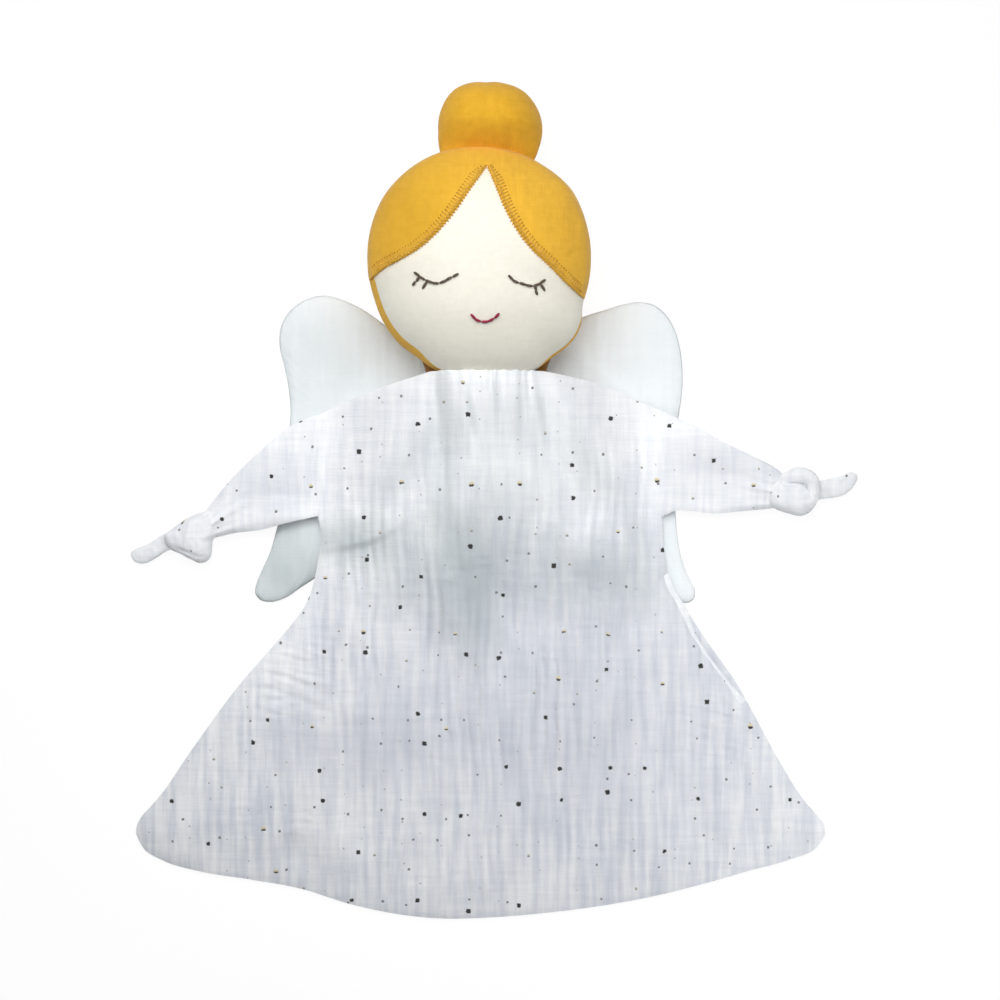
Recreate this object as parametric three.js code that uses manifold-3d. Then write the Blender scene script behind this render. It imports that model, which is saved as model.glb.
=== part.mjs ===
// A baby comforter in the shape of an angel doll, lying on its back with its face up.
// Millimetres. +X is to the viewer's right, +Y towards the head, +Z up off the surface it lies on.
// Left and right in the names are the viewer's. The origin is under the middle of the doll's box.
import * as THREE from "three";
import { mergeVertices } from "three/addons/utils/BufferGeometryUtils.js";
import Module from "manifold-3d";

const wasm = await Module();
wasm.setup();

// Fabrics and the space left between pieces that touch
const CLEARANCE = 0.3;
const GAUZE = 1.2; // double gauze of the dress
const COTTON = 0.8; // head, hair and bun fabric
const THREAD = 1.1; // embroidery and seam thread, across

// Neckline of the dress, where the head comes out
const NECK_X = -3;
const NECK_Y = 50;
const NECKLINE_WIDTH = 43;
const NECK_RADIUS = 12.5; // stuffed stub inside the neckline
const NECK_CYLINDER = 2; // straight length of the stub before its round end
const NECK_DIP = 0.36; // share of the neckline's height that is lost before the chest
const NECK_DIP_LENGTH = 25; // over this length below the neckline
const CHEST_LENGTH = 32; // the chest starts to fall this far below the neckline
const NECK_FADE = 105; // and has fallen to the waist this far below it
const BACK_NECK_RISE = 4.5; // back panel lifted at the neckline
const NECK_SLOPE = 38; // the raised neckline runs down to the shoulder over this width
const NECK_FAN = 14; // and is this much wider on each side where it runs out
const NECK_BELL = 1.7; // higher is a narrower crest from the neckline down
const SHOULDER_ROLL = 0.3; // share of the bodice's length over which the back falls from the seam
const GATHER_DEPTH = 1; // pleats at the neckline
const GATHER_COUNT = 5;

// Head, a stuffed disc of two panels
const HEAD_X = -5.6;
const HEAD_RADIUS = 42;
const JAW_SPREAD = 5; // extra radius where the head widens into the neck
const JAW_ANGLE = 38; // half of the spread's arc
const HEAD_FRONT = 28; // seam to the tip of the face
const HEAD_BACK = 28.5; // seam to the back of the head, before its flat
const REST_FLAT = 0.5; // depth of the flat that the head rests on
const DOME_POWER = 0.62; // roundness of the head and bun

// Hair panel: an inverted V from each side of the head up to the parting
const HAIR_LEFT_ANGLE = 189.5;
const HAIR_RIGHT_ANGLE = -19.5;
const PARTING_X = 3;
const PARTING_Y = 35;
const HAIR_LEFT_BOW = [-8.8, 5.2]; // control points of the two edges
const HAIR_RIGHT_BOW = [11.6, 2.4];
const HAIR_RIM = 0.985; // share of the head's outline that the hair covers

// Face embroidery, from the middle of the head
const EYE_LEFT_LID = [[-6.9, -6.5], [-14, -10], [-18.6, -9.2], [-23.6, -6.1]];
const EYE_LEFT_LASHES = [[[-21.4, -7.6], [-24, -11]], [[-17.6, -9.4], [-20.7, -12.5]]];
const EYE_RIGHT_LID = [[11, -6.9], [13.2, -9.4], [18.6, -10.8], [24.7, -8.7]];
const EYE_RIGHT_LASHES = [[[19.6, -10.6], [21.6, -14.6]], [[22, -10], [24.4, -13.4]]];
const MOUTH = [[-2.9, -21.3], [-0.6, -23.6], [2, -24.2], [4.6, -23.1], [7.6, -21]];

// Bun on top of the head
const BUN_X = -1.2;
const BUN_WIDTH = 40;
const BUN_HEIGHT = 33;
const BUN_DEPTH = 36;
const BUN_SINK = 7; // how far it is set into the top of the head
const BUN_DROP = 3; // how far its seam lies below the head's seam

// Dress: shoulders, armholes, waist and hem
const ARMHOLE_LEFT_X = -66;
const ARMHOLE_RIGHT_X = 65.5;
const SHOULDER_DROP = 14.5;
const ARMHOLE_DEPTH = 40;
const WAIST_Y = -31;
const WAIST_LEFT_X = -70;
const WAIST_RIGHT_X = 68.5;
const HEM_LEFT_X = -137.5;
const HEM_RIGHT_X = 128;
const HEM_CORNER_Y = -124;
const HEM_SAG = 36; // the hem hangs this far below its corners in the middle
const HEM_CURVE = 1.5; // higher is a flatter middle of the hem
const HEM_CORNER = 0.556; // lower is a squarer corner
const SIDE_BOW = 3; // the sides curve in this far
const BODY_PUFF = 4; // air between the front and the back
const FLUTE_DEPTH = 2.5; // soft folds of the skirt
const FLUTE_COUNT = 6;
const FLUTE_START = 25; // the folds begin this far above the waist
const FLUTE_RUN = 60; // and reach their depth over this length

// Sleeves, tied in a knot at the end
const SLEEVE_LEFT = 48; // armhole to wrist along the middle
const SLEEVE_RIGHT = 42.5;
const WRIST_WIDTH = 13;
const WRIST_PUFF = 6.5;
const SLEEVE_PUFF = 2.5;
const SLEEVE_WAIST = 2; // its edges draw in this far between armhole and wrist
const DROOP_LEFT = 28; // degrees below level
const DROOP_RIGHT = 12;
const KNOT_LENGTH = 19;
const KNOT_WIDTH = 19;
const KNOT_HEIGHT = 15;
const KNOT_WRAP = 5; // thickness of the turn around the knot
const KNOT_WRAP_TURN = 35; // degrees across the sleeve
const KNOT_TUCK = 0.6; // how far the sleeve's open end takes the knot in
const TAIL_LENGTH = 15; // past the knot
const TAIL_WIDTH = 8.5;
const TAIL_THICKNESS = 3.2;

// Wings: outwards from the centre seam, and up from the wings' middle
const WING_X = -5;
const WING_Y = 20;
const WING_MIDDLE = [40, -2]; // inside the outline, seen by all of it
const WING_OUTLINE = [
  [0.9, 22], [30, 43], [56, 60], [72, 56.5], [77.5, 43], [74, 18], [69, -12],
  [80, -31], [87.3, -51], [81, -57.5], [62, -46], [34, -38], [0.9, -33],
];
const WING_CROWN = 4.6; // thickness in the middle
const WING_EDGE = 1.6; // thickness at the sewn edge
const WING_FOLD_TOP = [43, 54]; // the free tip bends along the line between these two
const WING_FOLD_SIDE = [74, 18];
const WING_SEAM_TOP = 14; // the seam thread runs between these heights
const WING_SEAM_BOTTOM = -26;

// Places that follow from the sizes above
const HEAD_Y = NECK_Y + HEAD_RADIUS;
const HEAD_SEAM = HEAD_BACK - REST_FLAT;
const HEAD_CUT = NECK_Y + 2 * CLEARANCE;
const BUN_Y = HEAD_Y + HEAD_RADIUS + BUN_HEIGHT / 2 - BUN_SINK;
const BUN_SEAM = HEAD_SEAM - BUN_DROP;
const OVER_HAIR = 2 * CLEARANCE + COTTON; // the bun sits this far out from the face panel
const HEM_MIDDLE = (HEM_LEFT_X + HEM_RIGHT_X) / 2;
const WAIST_MIDDLE = (WAIST_LEFT_X + WAIST_RIGHT_X) / 2;
const SHOULDER_Y = NECK_Y - SHOULDER_DROP;
const ARMPIT_Y = SHOULDER_Y - ARMHOLE_DEPTH;
const SKIRT_LENGTH = WAIST_Y - (HEM_CORNER_Y - HEM_SAG);
const RING_OUTER = NECK_RADIUS + CLEARANCE + THREAD;
const LIFT = WING_CROWN + CLEARANCE;
const BACK_NECK_TOP = LIFT + BACK_NECK_RISE + GAUZE;
const NECK_Z = BACK_NECK_TOP + CLEARANCE + RING_OUTER;
const FRONT_NECK_RISE = 2 * RING_OUTER + 2 * CLEARANCE;
const LIFT_SPAN = 1.1 * Math.max(...WING_OUTLINE.map((point) => point[0]));
const LIFT_RISE = 1.2 * Math.max(...WING_OUTLINE.map((point) => Math.abs(point[1])));
const LIFT_FADE = 1.45; // the dress reaches the surface at this share past the wings
const FAR = 400; // larger than the doll, for cutting tools

// Fineness of the surfaces
const HEAD_MESH = [28, 5]; // sides and rings
const FILLING_MESH = [24, 5];
const BUN_MESH = [20, 4];
const BODICE_MESH = [20, 7]; // columns and rows
const SKIRT_MESH = [30, 8];
const SLEEVE_MESH = [8, 6];
const WING_STEPS = 32;
const HAIR_STEPS = 20;

const { lerp, degToRad, smoothstep } = THREE.MathUtils;

// Solids for cutting and joining

function solidOf(geometry) {
  const bare = geometry.clone();
  bare.deleteAttribute("normal");
  bare.deleteAttribute("uv");
  const merged = mergeVertices(bare, 1e-4);
  const mesh = new wasm.Mesh({
    numProp: 3,
    vertProperties: new Float32Array(merged.attributes.position.array),
    triVerts: new Uint32Array(merged.index.array),
  });
  return new wasm.Manifold(mesh);
}

function geometryOf(solid) {
  const mesh = solid.getMesh();
  const geometry = new THREE.BufferGeometry();
  geometry.setAttribute("position", new THREE.BufferAttribute(mesh.vertProperties, 3));
  geometry.setIndex(new THREE.BufferAttribute(mesh.triVerts, 1));
  geometry.computeVertexNormals();
  return geometry;
}

// Everything on the far side of a plane through a point, in the direction given.
function beyond(point, direction) {
  const box = new THREE.BoxGeometry(FAR, FAR, FAR);
  box.translate(FAR / 2, 0, 0);
  const along = new THREE.Vector3(1, 0, 0);
  const turn = new THREE.Quaternion().setFromUnitVectors(along, direction.clone().normalize());
  box.applyQuaternion(turn);
  box.translate(point.x, point.y, point.z);
  return solidOf(box);
}

// Closed surfaces

// Joins an upper and a lower skin, each rings of a star-shaped outline drawn in to its middle.
// A skin is { outline, rings, height }, and height takes the share of the way out to the outline.
function domedGeometry(middle, upper, lower) {
  const positions = [];
  const indices = [];
  const sides = upper.outline.length;

  function addSkin(skin, facingUp) {
    const centre = positions.length / 3;
    positions.push(middle[0], middle[1], skin.height(0));
    for (let ring = 1; ring <= skin.rings; ring += 1) {
      const share = Math.sin((ring / skin.rings) * (Math.PI / 2));
      for (const [x, y] of skin.outline) {
        positions.push(lerp(middle[0], x, share), lerp(middle[1], y, share), skin.height(share));
      }
    }
    const at = (ring, side) => centre + 1 + (ring - 1) * sides + (side % sides);
    const face = (a, b, c) => (facingUp ? indices.push(a, b, c) : indices.push(a, c, b));
    for (let side = 0; side < sides; side += 1) {
      face(centre, at(1, side), at(1, side + 1));
      for (let ring = 1; ring < skin.rings; ring += 1) {
        face(at(ring, side), at(ring + 1, side), at(ring + 1, side + 1));
        face(at(ring, side), at(ring + 1, side + 1), at(ring, side + 1));
      }
    }
    return (side) => at(skin.rings, side);
  }

  const upperRim = addSkin(upper, true);
  const lowerRim = addSkin(lower, false);
  for (let side = 0; side < sides; side += 1) {
    indices.push(upperRim(side), lowerRim(side), lowerRim(side + 1));
    indices.push(upperRim(side), lowerRim(side + 1), upperRim(side + 1));
  }
  const geometry = new THREE.BufferGeometry();
  geometry.setAttribute("position", new THREE.Float32BufferAttribute(positions, 3));
  geometry.setIndex(indices);
  geometry.computeVertexNormals();
  return geometry;
}

// A cloth panel over a grid: flat(u, v) is its place and underside(x, y, u, v) its lower face.
function panelGeometry([columns, rows], flat, underside, thickness) {
  const positions = [];
  const indices = [];
  const layer = (columns + 1) * (rows + 1);
  for (const lift of [thickness, 0]) {
    for (let row = 0; row <= rows; row += 1) {
      for (let column = 0; column <= columns; column += 1) {
        const u = column / columns;
        const v = row / rows;
        const [x, y] = flat(u, v);
        positions.push(x, y, underside(x, y, u, v) + lift);
      }
    }
  }
  const at = (column, row) => row * (columns + 1) + column;
  for (let row = 0; row < rows; row += 1) {
    for (let column = 0; column < columns; column += 1) {
      const [a, b] = [at(column, row), at(column + 1, row)];
      const [c, d] = [at(column + 1, row + 1), at(column, row + 1)];
      indices.push(a, d, c, a, c, b);
      indices.push(a + layer, c + layer, d + layer, a + layer, b + layer, c + layer);
    }
  }
  const wall = (a, b) => indices.push(a, b, b + layer, a, b + layer, a + layer);
  for (let column = 0; column < columns; column += 1) {
    wall(at(column, 0), at(column + 1, 0));
    wall(at(column + 1, rows), at(column, rows));
  }
  for (let row = 0; row < rows; row += 1) {
    wall(at(0, row + 1), at(0, row));
    wall(at(columns, row), at(columns, row + 1));
  }
  const geometry = new THREE.BufferGeometry();
  geometry.setAttribute("position", new THREE.Float32BufferAttribute(positions, 3));
  geometry.setIndex(indices);
  geometry.computeVertexNormals();
  return geometry;
}

// A thread along a curve through points, closed at both ends.
function threadGeometry(points, width, steps, sides) {
  const ring = [];
  for (let side = 0; side < sides; side += 1) {
    const angle = (side / sides) * 2 * Math.PI;
    ring.push(new THREE.Vector2(Math.cos(angle), Math.sin(angle)).multiplyScalar(width / 2));
  }
  const extrudePath = new THREE.CatmullRomCurve3(points);
  return new THREE.ExtrudeGeometry(new THREE.Shape(ring), { steps, extrudePath });
}

// Materials

function cloth(color) {
  return new THREE.MeshStandardMaterial({ color, roughness: 0.95, metalness: 0 });
}

const SPECKLED = cloth(0xe4e8ea);
const WHITE = cloth(0xeef3f5);
const CREAM = cloth(0xf4f1e4);
const MUSTARD = cloth(0xe4ae33);
const MUSTARD_THREAD = cloth(0xc2982c);
const DARK_THREAD = cloth(0x50493a);
const RED_THREAD = cloth(0x8c3050);
const WADDING = cloth(0xf8f8f4);

// Head

function dome(share) {
  return Math.pow(Math.max(0, 1 - share * share), DOME_POWER);
}

function headReach(angle, grow) {
  const fromChin = (angle + 450) % 360;
  const turn = Math.min(fromChin, 360 - fromChin) / JAW_ANGLE;
  return HEAD_RADIUS + grow + JAW_SPREAD * Math.exp(-turn * turn);
}

function headOutline(sides, grow) {
  const points = [];
  for (let side = 0; side < sides; side += 1) {
    const angle = (side / sides) * 360;
    const reach = headReach(angle, grow);
    const turn = degToRad(angle);
    points.push([HEAD_X + reach * Math.cos(turn), HEAD_Y + reach * Math.sin(turn)]);
  }
  return points;
}

// Height of the front of the head, grown outwards, over a point measured from its middle.
function faceHeight(x, y, grow) {
  const angle = ((Math.atan2(y, x) * 180) / Math.PI + 360) % 360;
  const share = Math.hypot(x, y) / headReach(angle, grow);
  return HEAD_SEAM + (HEAD_FRONT + grow) * dome(share);
}

function headSkin([sides, rings], grow, side) {
  const depth = side > 0 ? HEAD_FRONT + grow : HEAD_BACK + grow;
  const split = side * (CLEARANCE / 2);
  return {
    outline: headOutline(sides, grow),
    rings,
    height: (share) => HEAD_SEAM + split + side * depth * dome(share),
  };
}

const HEAD_MIDDLE = [HEAD_X, HEAD_Y];
const neckSide = beyond(new THREE.Vector3(0, HEAD_CUT, 0), new THREE.Vector3(0, -1, 0));
const surfaceSide = beyond(new THREE.Vector3(0, 0, 0), new THREE.Vector3(0, 0, -1));

function facePanel() {
  const outside = headSkin(HEAD_MESH, 0, 1);
  const inside = headSkin(HEAD_MESH, -COTTON, 1);
  const shell = solidOf(domedGeometry(HEAD_MIDDLE, outside, inside));
  return geometryOf(shell.subtract(neckSide));
}

function headBackPanel() {
  const outside = headSkin(HEAD_MESH, 0, -1);
  const inside = headSkin(HEAD_MESH, -COTTON, -1);
  const shell = solidOf(domedGeometry(HEAD_MIDDLE, inside, outside));
  return geometryOf(shell.subtract(neckSide).subtract(surfaceSide));
}

function headStuffing() {
  const grow = -COTTON - 2 * CLEARANCE;
  const ball = domedGeometry(HEAD_MIDDLE, headSkin(FILLING_MESH, grow, 1), headSkin(FILLING_MESH, grow, -1));
  return geometryOf(solidOf(ball).subtract(neckSide));
}

function rimPoint(angle, share) {
  const reach = headReach((angle + 360) % 360, 0) * share;
  return [reach * Math.cos(degToRad(angle)), reach * Math.sin(degToRad(angle))];
}

// The hair's edge, from the left rim (0) over the parting (0.5) to the right rim (1).
function hairEdge(share) {
  const parting = new THREE.Vector2(PARTING_X, PARTING_Y);
  const left = new THREE.Vector2(...rimPoint(HAIR_LEFT_ANGLE, HAIR_RIM));
  const right = new THREE.Vector2(...rimPoint(HAIR_RIGHT_ANGLE, HAIR_RIM));
  const leftCurve = new THREE.QuadraticBezierCurve(left, new THREE.Vector2(...HAIR_LEFT_BOW), parting);
  const rightCurve = new THREE.QuadraticBezierCurve(
    parting, new THREE.Vector2(...HAIR_RIGHT_BOW), right);
  return share < 0.5 ? leftCurve.getPoint(2 * share) : rightCurve.getPoint(2 * share - 1);
}

function grownHead(grow) {
  return solidOf(domedGeometry(HEAD_MIDDLE, headSkin(HEAD_MESH, grow, 1), headSkin(HEAD_MESH, grow, -1)));
}

// The layer of cloth over the front of the head, kept between the hair's edge and the rim.
function hairPanel() {
  const points = [];
  for (let step = 0; step <= HAIR_STEPS; step += 1) {
    const edge = hairEdge(step / HAIR_STEPS);
    points.push(new THREE.Vector2(HEAD_X + edge.x, HEAD_Y + edge.y));
  }
  for (let step = 1; step < HAIR_STEPS; step += 1) {
    const angle = lerp(HAIR_RIGHT_ANGLE, HAIR_LEFT_ANGLE, step / HAIR_STEPS);
    const [x, y] = rimPoint(angle, HAIR_RIM);
    points.push(new THREE.Vector2(HEAD_X + x, HEAD_Y + y));
  }
  const region = new THREE.Shape(points);
  const prism = new THREE.ExtrudeGeometry(region, { depth: FAR, bevelEnabled: false });
  prism.translate(0, 0, HEAD_SEAM + CLEARANCE);
  const layer = grownHead(CLEARANCE + COTTON).subtract(grownHead(CLEARANCE));
  return geometryOf(layer.intersect(solidOf(prism)));
}

// A thread laid on the face, with points measured from the middle of the head.
function faceThread(points, grow, steps) {
  const path = points.map(([x, y]) => {
    return new THREE.Vector3(HEAD_X + x, HEAD_Y + y, faceHeight(x, y, grow + THREAD / 2));
  });
  return threadGeometry(path, THREAD, steps, 5);
}

// The thread runs along the face side of the hair's edge, turning below the parting.
function hairStitch() {
  const off = THREAD / 2 + CLEARANCE;
  const points = [];
  const follow = (from, to) => {
    for (let step = 0; step <= 10; step += 1) {
      const share = lerp(from, to, step / 10);
      const along = hairEdge(share + 0.01).clone().sub(hairEdge(share - 0.01)).normalize();
      const edge = hairEdge(share);
      points.push([edge.x + off * along.y, edge.y - off * along.x]);
    }
  };
  follow(0.05, 0.46);
  points.push([PARTING_X, PARTING_Y - 5 * off]);
  follow(0.54, 0.95);
  return faceThread(points, CLEARANCE, 34);
}

function eye(lid, lashes) {
  let solid = solidOf(faceThread(lid, CLEARANCE, 9));
  for (const lash of lashes) {
    solid = solid.add(solidOf(faceThread(lash, CLEARANCE, 2)));
  }
  return geometryOf(solid);
}

// Bun

function bunSkin([sides, rings], grow, side) {
  const outline = [];
  for (let index = 0; index < sides; index += 1) {
    const turn = (index / sides) * 2 * Math.PI;
    const x = BUN_X + (BUN_WIDTH / 2 + grow) * Math.cos(turn);
    const y = BUN_Y + (BUN_HEIGHT / 2 + grow) * Math.sin(turn);
    outline.push([x, y]);
  }
  const depth = BUN_DEPTH / 2 + grow;
  const rim = side * (CLEARANCE / 2);
  return { outline, rings, height: (share) => BUN_SEAM + rim + side * depth * dome(share) };
}

const BUN_MIDDLE = [BUN_X, BUN_Y];

function bunBall(grow) {
  const ball = domedGeometry(BUN_MIDDLE, bunSkin(BUN_MESH, grow, 1), bunSkin(BUN_MESH, grow, -1));
  return solidOf(ball);
}

// The cover is open where it is sewn to the head.
function bunCover() {
  const hollow = bunBall(-COTTON);
  return geometryOf(bunBall(0).subtract(hollow).subtract(grownHead(OVER_HAIR)));
}

function bunStuffing() {
  return geometryOf(bunBall(-COTTON - CLEARANCE).subtract(grownHead(OVER_HAIR)));
}

// Neck

function neckStem() {
  const profile = [];
  for (let step = 0; step <= 5; step += 1) {
    const turn = (step / 5) * (Math.PI / 2);
    profile.push(new THREE.Vector2(NECK_RADIUS * Math.sin(turn), -NECK_RADIUS * Math.cos(turn)));
  }
  profile.push(new THREE.Vector2(NECK_RADIUS, NECK_CYLINDER));
  profile.push(new THREE.Vector2(0, NECK_CYLINDER));
  profile[0].x = 0;
  const stem = new THREE.LatheGeometry(profile, 20);
  stem.translate(NECK_X, NECK_Y + CLEARANCE - NECK_CYLINDER, NECK_Z);
  return stem;
}

function neckThread() {
  const ring = new THREE.TorusGeometry(RING_OUTER - THREAD / 2, THREAD / 2, 5, 18);
  ring.rotateX(Math.PI / 2);
  ring.translate(NECK_X, NECK_Y - THREAD, NECK_Z);
  return ring;
}

// Dress

// How far the wings hold the dress off the surface.
function lift(x, y) {
  const reach = Math.hypot((x - WING_X) / LIFT_SPAN, (y - WING_Y) / LIFT_RISE);
  return LIFT * (1 - smoothstep(reach, 1, LIFT_FADE));
}

// The arch over the neck: 1 on the neckline's middle, running out into the chest and shoulders.
function neckArch(x, y) {
  const down = Math.max(0, NECK_Y - y);
  const dip = NECK_DIP * (1 - smoothstep(down, 0, NECK_DIP_LENGTH));
  const chest = (1 - NECK_DIP) * (1 - smoothstep(down, CHEST_LENGTH, NECK_FADE));
  const half = NECKLINE_WIDTH / 2 + NECK_SLOPE + NECK_FAN * Math.min(1, down / NECK_FADE);
  const across = Math.min(1, Math.abs(x - NECK_X) / half);
  return (dip + chest) * Math.pow(1 - across * across, NECK_BELL);
}

// Sides of the dress at a height, as the left and the right edge.
function dressSides(y) {
  const down = Math.max(0, (WAIST_Y - y) / SKIRT_LENGTH);
  const up = Math.min(1, Math.max(0, (y - WAIST_Y) / (SHOULDER_Y - WAIST_Y)));
  const left = lerp(lerp(WAIST_LEFT_X, ARMHOLE_LEFT_X, up), HEM_LEFT_X, down);
  const right = lerp(lerp(WAIST_RIGHT_X, ARMHOLE_RIGHT_X, up), HEM_RIGHT_X, down);
  return [left, right];
}

// Air between the panels: fullest in the middle, none along the sides and the hem.
function puff(x, y) {
  const [left, right] = dressSides(y);
  const across = Math.min(1, Math.abs(2 * x - left - right) / (right - left));
  const down = Math.min(1, Math.max(0, (WAIST_Y - y) / SKIRT_LENGTH));
  return Math.pow(1 - across * across, 2) * (1 - down * down);
}

function flutes(x, y) {
  const [left, right] = dressSides(y);
  const across = (x - left) / (right - left);
  const edge = Math.pow(Math.max(0, 4 * across * (1 - across)), 0.5);
  const start = smoothstep(WAIST_Y + FLUTE_START - y, 0, FLUTE_RUN);
  const end = 1 - smoothstep(WAIST_Y - y, 0.6 * SKIRT_LENGTH, SKIRT_LENGTH);
  return start * end * edge * (0.5 - 0.5 * Math.cos(2 * Math.PI * FLUTE_COUNT * across));
}

function backUnderside(x, y) {
  return lift(x, y) + BACK_NECK_RISE * neckArch(x, y);
}

function frontUnderside(x, y) {
  const layers = backUnderside(x, y) + GAUZE + CLEARANCE;
  return layers + FRONT_NECK_RISE * neckArch(x, y) + BODY_PUFF * puff(x, y) + FLUTE_DEPTH * flutes(x, y);
}

// The bodice's top edge: left shoulder, neckline, right shoulder.
function shoulderLine(u) {
  const left = NECK_X - NECKLINE_WIDTH / 2;
  const right = NECK_X + NECKLINE_WIDTH / 2;
  if (u < 0.25) {
    return [lerp(ARMHOLE_LEFT_X, left, 4 * u), lerp(SHOULDER_Y, NECK_Y, 4 * u)];
  }
  if (u > 0.75) {
    return [lerp(right, ARMHOLE_RIGHT_X, 4 * u - 3), lerp(NECK_Y, SHOULDER_Y, 4 * u - 3)];
  }
  return [lerp(left, right, 2 * u - 0.5), NECK_Y];
}

function bodiceFlat(u, v) {
  const [x, y] = shoulderLine(u);
  return [lerp(x, lerp(WAIST_LEFT_X, WAIST_RIGHT_X, u), v), lerp(y, WAIST_Y + CLEARANCE / 2, v)];
}

function skirtFlat(u, v) {
  const side = Math.sin(Math.PI * (u - 0.5));
  const waist = WAIST_MIDDLE + (side * (WAIST_RIGHT_X - WAIST_LEFT_X)) / 2;
  const hem = HEM_MIDDLE + (side * (HEM_RIGHT_X - HEM_LEFT_X)) / 2;
  const sag = HEM_SAG * Math.pow(Math.max(0, 1 - Math.pow(Math.abs(side), HEM_CURVE)), HEM_CORNER);
  const bow = -side * SIDE_BOW * 4 * v * (1 - v);
  return [lerp(waist, hem, v) + bow, lerp(WAIST_Y - CLEARANCE / 2, HEM_CORNER_Y - sag, v)];
}

function bodiceFront() {
  const underside = (x, y, u, v) => {
    const pleat = 0.5 + 0.5 * Math.cos(2 * Math.PI * GATHER_COUNT * (2 * u - 0.5));
    const near = smoothstep(u, 0.2, 0.3) * (1 - smoothstep(u, 0.7, 0.8)) * (1 - smoothstep(v, 0, 0.7));
    return frontUnderside(x, y) + GATHER_DEPTH * pleat * near;
  };
  return panelGeometry(BODICE_MESH, bodiceFlat, underside, GAUZE);
}

// The back meets the front along the shoulder seams, and passes under the neck between them.
function bodiceBack() {
  const underside = (x, y, u, v) => {
    const shoulder = smoothstep(Math.abs(u - 0.5), 0.15, 0.25);
    const seam = shoulder * (1 - smoothstep(v, 0, SHOULDER_ROLL));
    return backUnderside(x, y) + FRONT_NECK_RISE * neckArch(x, y) * seam;
  };
  return panelGeometry(BODICE_MESH, bodiceFlat, underside, GAUZE);
}

function skirtFront() {
  return panelGeometry(SKIRT_MESH, skirtFlat, frontUnderside, GAUZE);
}

function skirtBack() {
  return panelGeometry(SKIRT_MESH, skirtFlat, backUnderside, GAUZE);
}

// Sleeves and hands: side is -1 for the left and 1 for the right.

function sleeveRoot(side, y) {
  const [left, right] = dressSides(y);
  return (side < 0 ? left : right) + side * CLEARANCE;
}

function sleeveFrame(side) {
  const droop = degToRad(side < 0 ? DROOP_LEFT : DROOP_RIGHT);
  const direction = [side * Math.cos(droop), -Math.sin(droop)];
  const rootY = (SHOULDER_Y + ARMPIT_Y) / 2;
  const rootX = sleeveRoot(side, rootY);
  const length = side < 0 ? SLEEVE_LEFT : SLEEVE_RIGHT;
  const wrist = [rootX + length * direction[0], rootY + length * direction[1]];
  return { direction, wrist };
}

function sleevePanel(side, front) {
  const { direction, wrist } = sleeveFrame(side);
  const up = [-side * direction[1], side * direction[0]];
  const flat = (u, v) => {
    const end = WRIST_WIDTH * (0.5 - v);
    const hollow = SLEEVE_WAIST * Math.sin(Math.PI * u) * (2 * v - 1);
    const root = lerp(SHOULDER_Y, ARMPIT_Y, v);
    const x = lerp(sleeveRoot(side, root), wrist[0] + up[0] * end, u);
    const y = lerp(root, wrist[1] + up[1] * end, u);
    return [x, y + hollow];
  };
  const placed = (u, v) => flat(side > 0 ? u : 1 - u, v);
  const underside = (x, y, u, v) => {
    const out = side > 0 ? u : 1 - u;
    const round = 4 * v * (1 - v);
    const air = front ? GAUZE + CLEARANCE + lerp(SLEEVE_PUFF, WRIST_PUFF, out) * round : 0;
    return backUnderside(x, y) + air;
  };
  return panelGeometry(SLEEVE_MESH, placed, underside, GAUZE);
}

function knotBall(side, grow) {
  const { direction, wrist } = sleeveFrame(side);
  const ball = new THREE.SphereGeometry(1, 14, 8);
  ball.scale(KNOT_LENGTH / 2 + grow, KNOT_WIDTH / 2 + grow, KNOT_HEIGHT / 2 + grow);
  const wrap = new THREE.TorusGeometry(KNOT_WIDTH / 2 - KNOT_WRAP / 2, KNOT_WRAP / 2 + grow, 6, 14);
  wrap.rotateY(Math.PI / 2);
  wrap.scale(1, 1, KNOT_HEIGHT / KNOT_WIDTH);
  wrap.rotateZ(side * degToRad(KNOT_WRAP_TURN));
  const reach = KNOT_LENGTH / 2 - KNOT_TUCK;
  const knot = solidOf(ball).add(solidOf(wrap));
  const turn = (Math.atan2(direction[1], direction[0]) * 180) / Math.PI;
  const place = [wrist[0] + reach * direction[0], wrist[1] + reach * direction[1]];
  return knot.rotate([0, 0, turn]).translate([place[0], place[1], KNOT_HEIGHT / 2 - REST_FLAT]);
}

function knot(side) {
  return geometryOf(knotBall(side, 0).subtract(surfaceSide));
}

function knotTail(side) {
  const { direction, wrist } = sleeveFrame(side);
  const start = KNOT_LENGTH * 0.6;
  const length = KNOT_LENGTH - KNOT_TUCK + TAIL_LENGTH - start;
  const outline = [];
  for (let step = 0; step < 16; step += 1) {
    const turn = (step / 16) * 2 * Math.PI;
    const along = Math.sign(Math.cos(turn)) * Math.pow(Math.abs(Math.cos(turn)), 0.6);
    const across = Math.sign(Math.sin(turn)) * Math.pow(Math.abs(Math.sin(turn)), 0.6);
    const reach = start + (length / 2) * (1 + along);
    const off = (TAIL_WIDTH / 2) * across;
    outline.push([
      wrist[0] + reach * direction[0] - off * direction[1],
      wrist[1] + reach * direction[1] + off * direction[0],
    ]);
  }
  const reach = start + length / 2;
  const middle = [wrist[0] + reach * direction[0], wrist[1] + reach * direction[1]];
  const top = { outline, rings: 3, height: (share) => TAIL_THICKNESS * (0.5 + 0.5 * dome(share)) };
  const bottom = { outline, rings: 1, height: () => 0 };
  const tail = solidOf(domedGeometry(middle, top, bottom));
  return geometryOf(tail.subtract(knotBall(side, CLEARANCE)));
}

// Wings: side is -1 for the left and 1 for the right.

function wingPoint(side, [x, y]) {
  return [WING_X + side * x, WING_Y + y];
}

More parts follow.
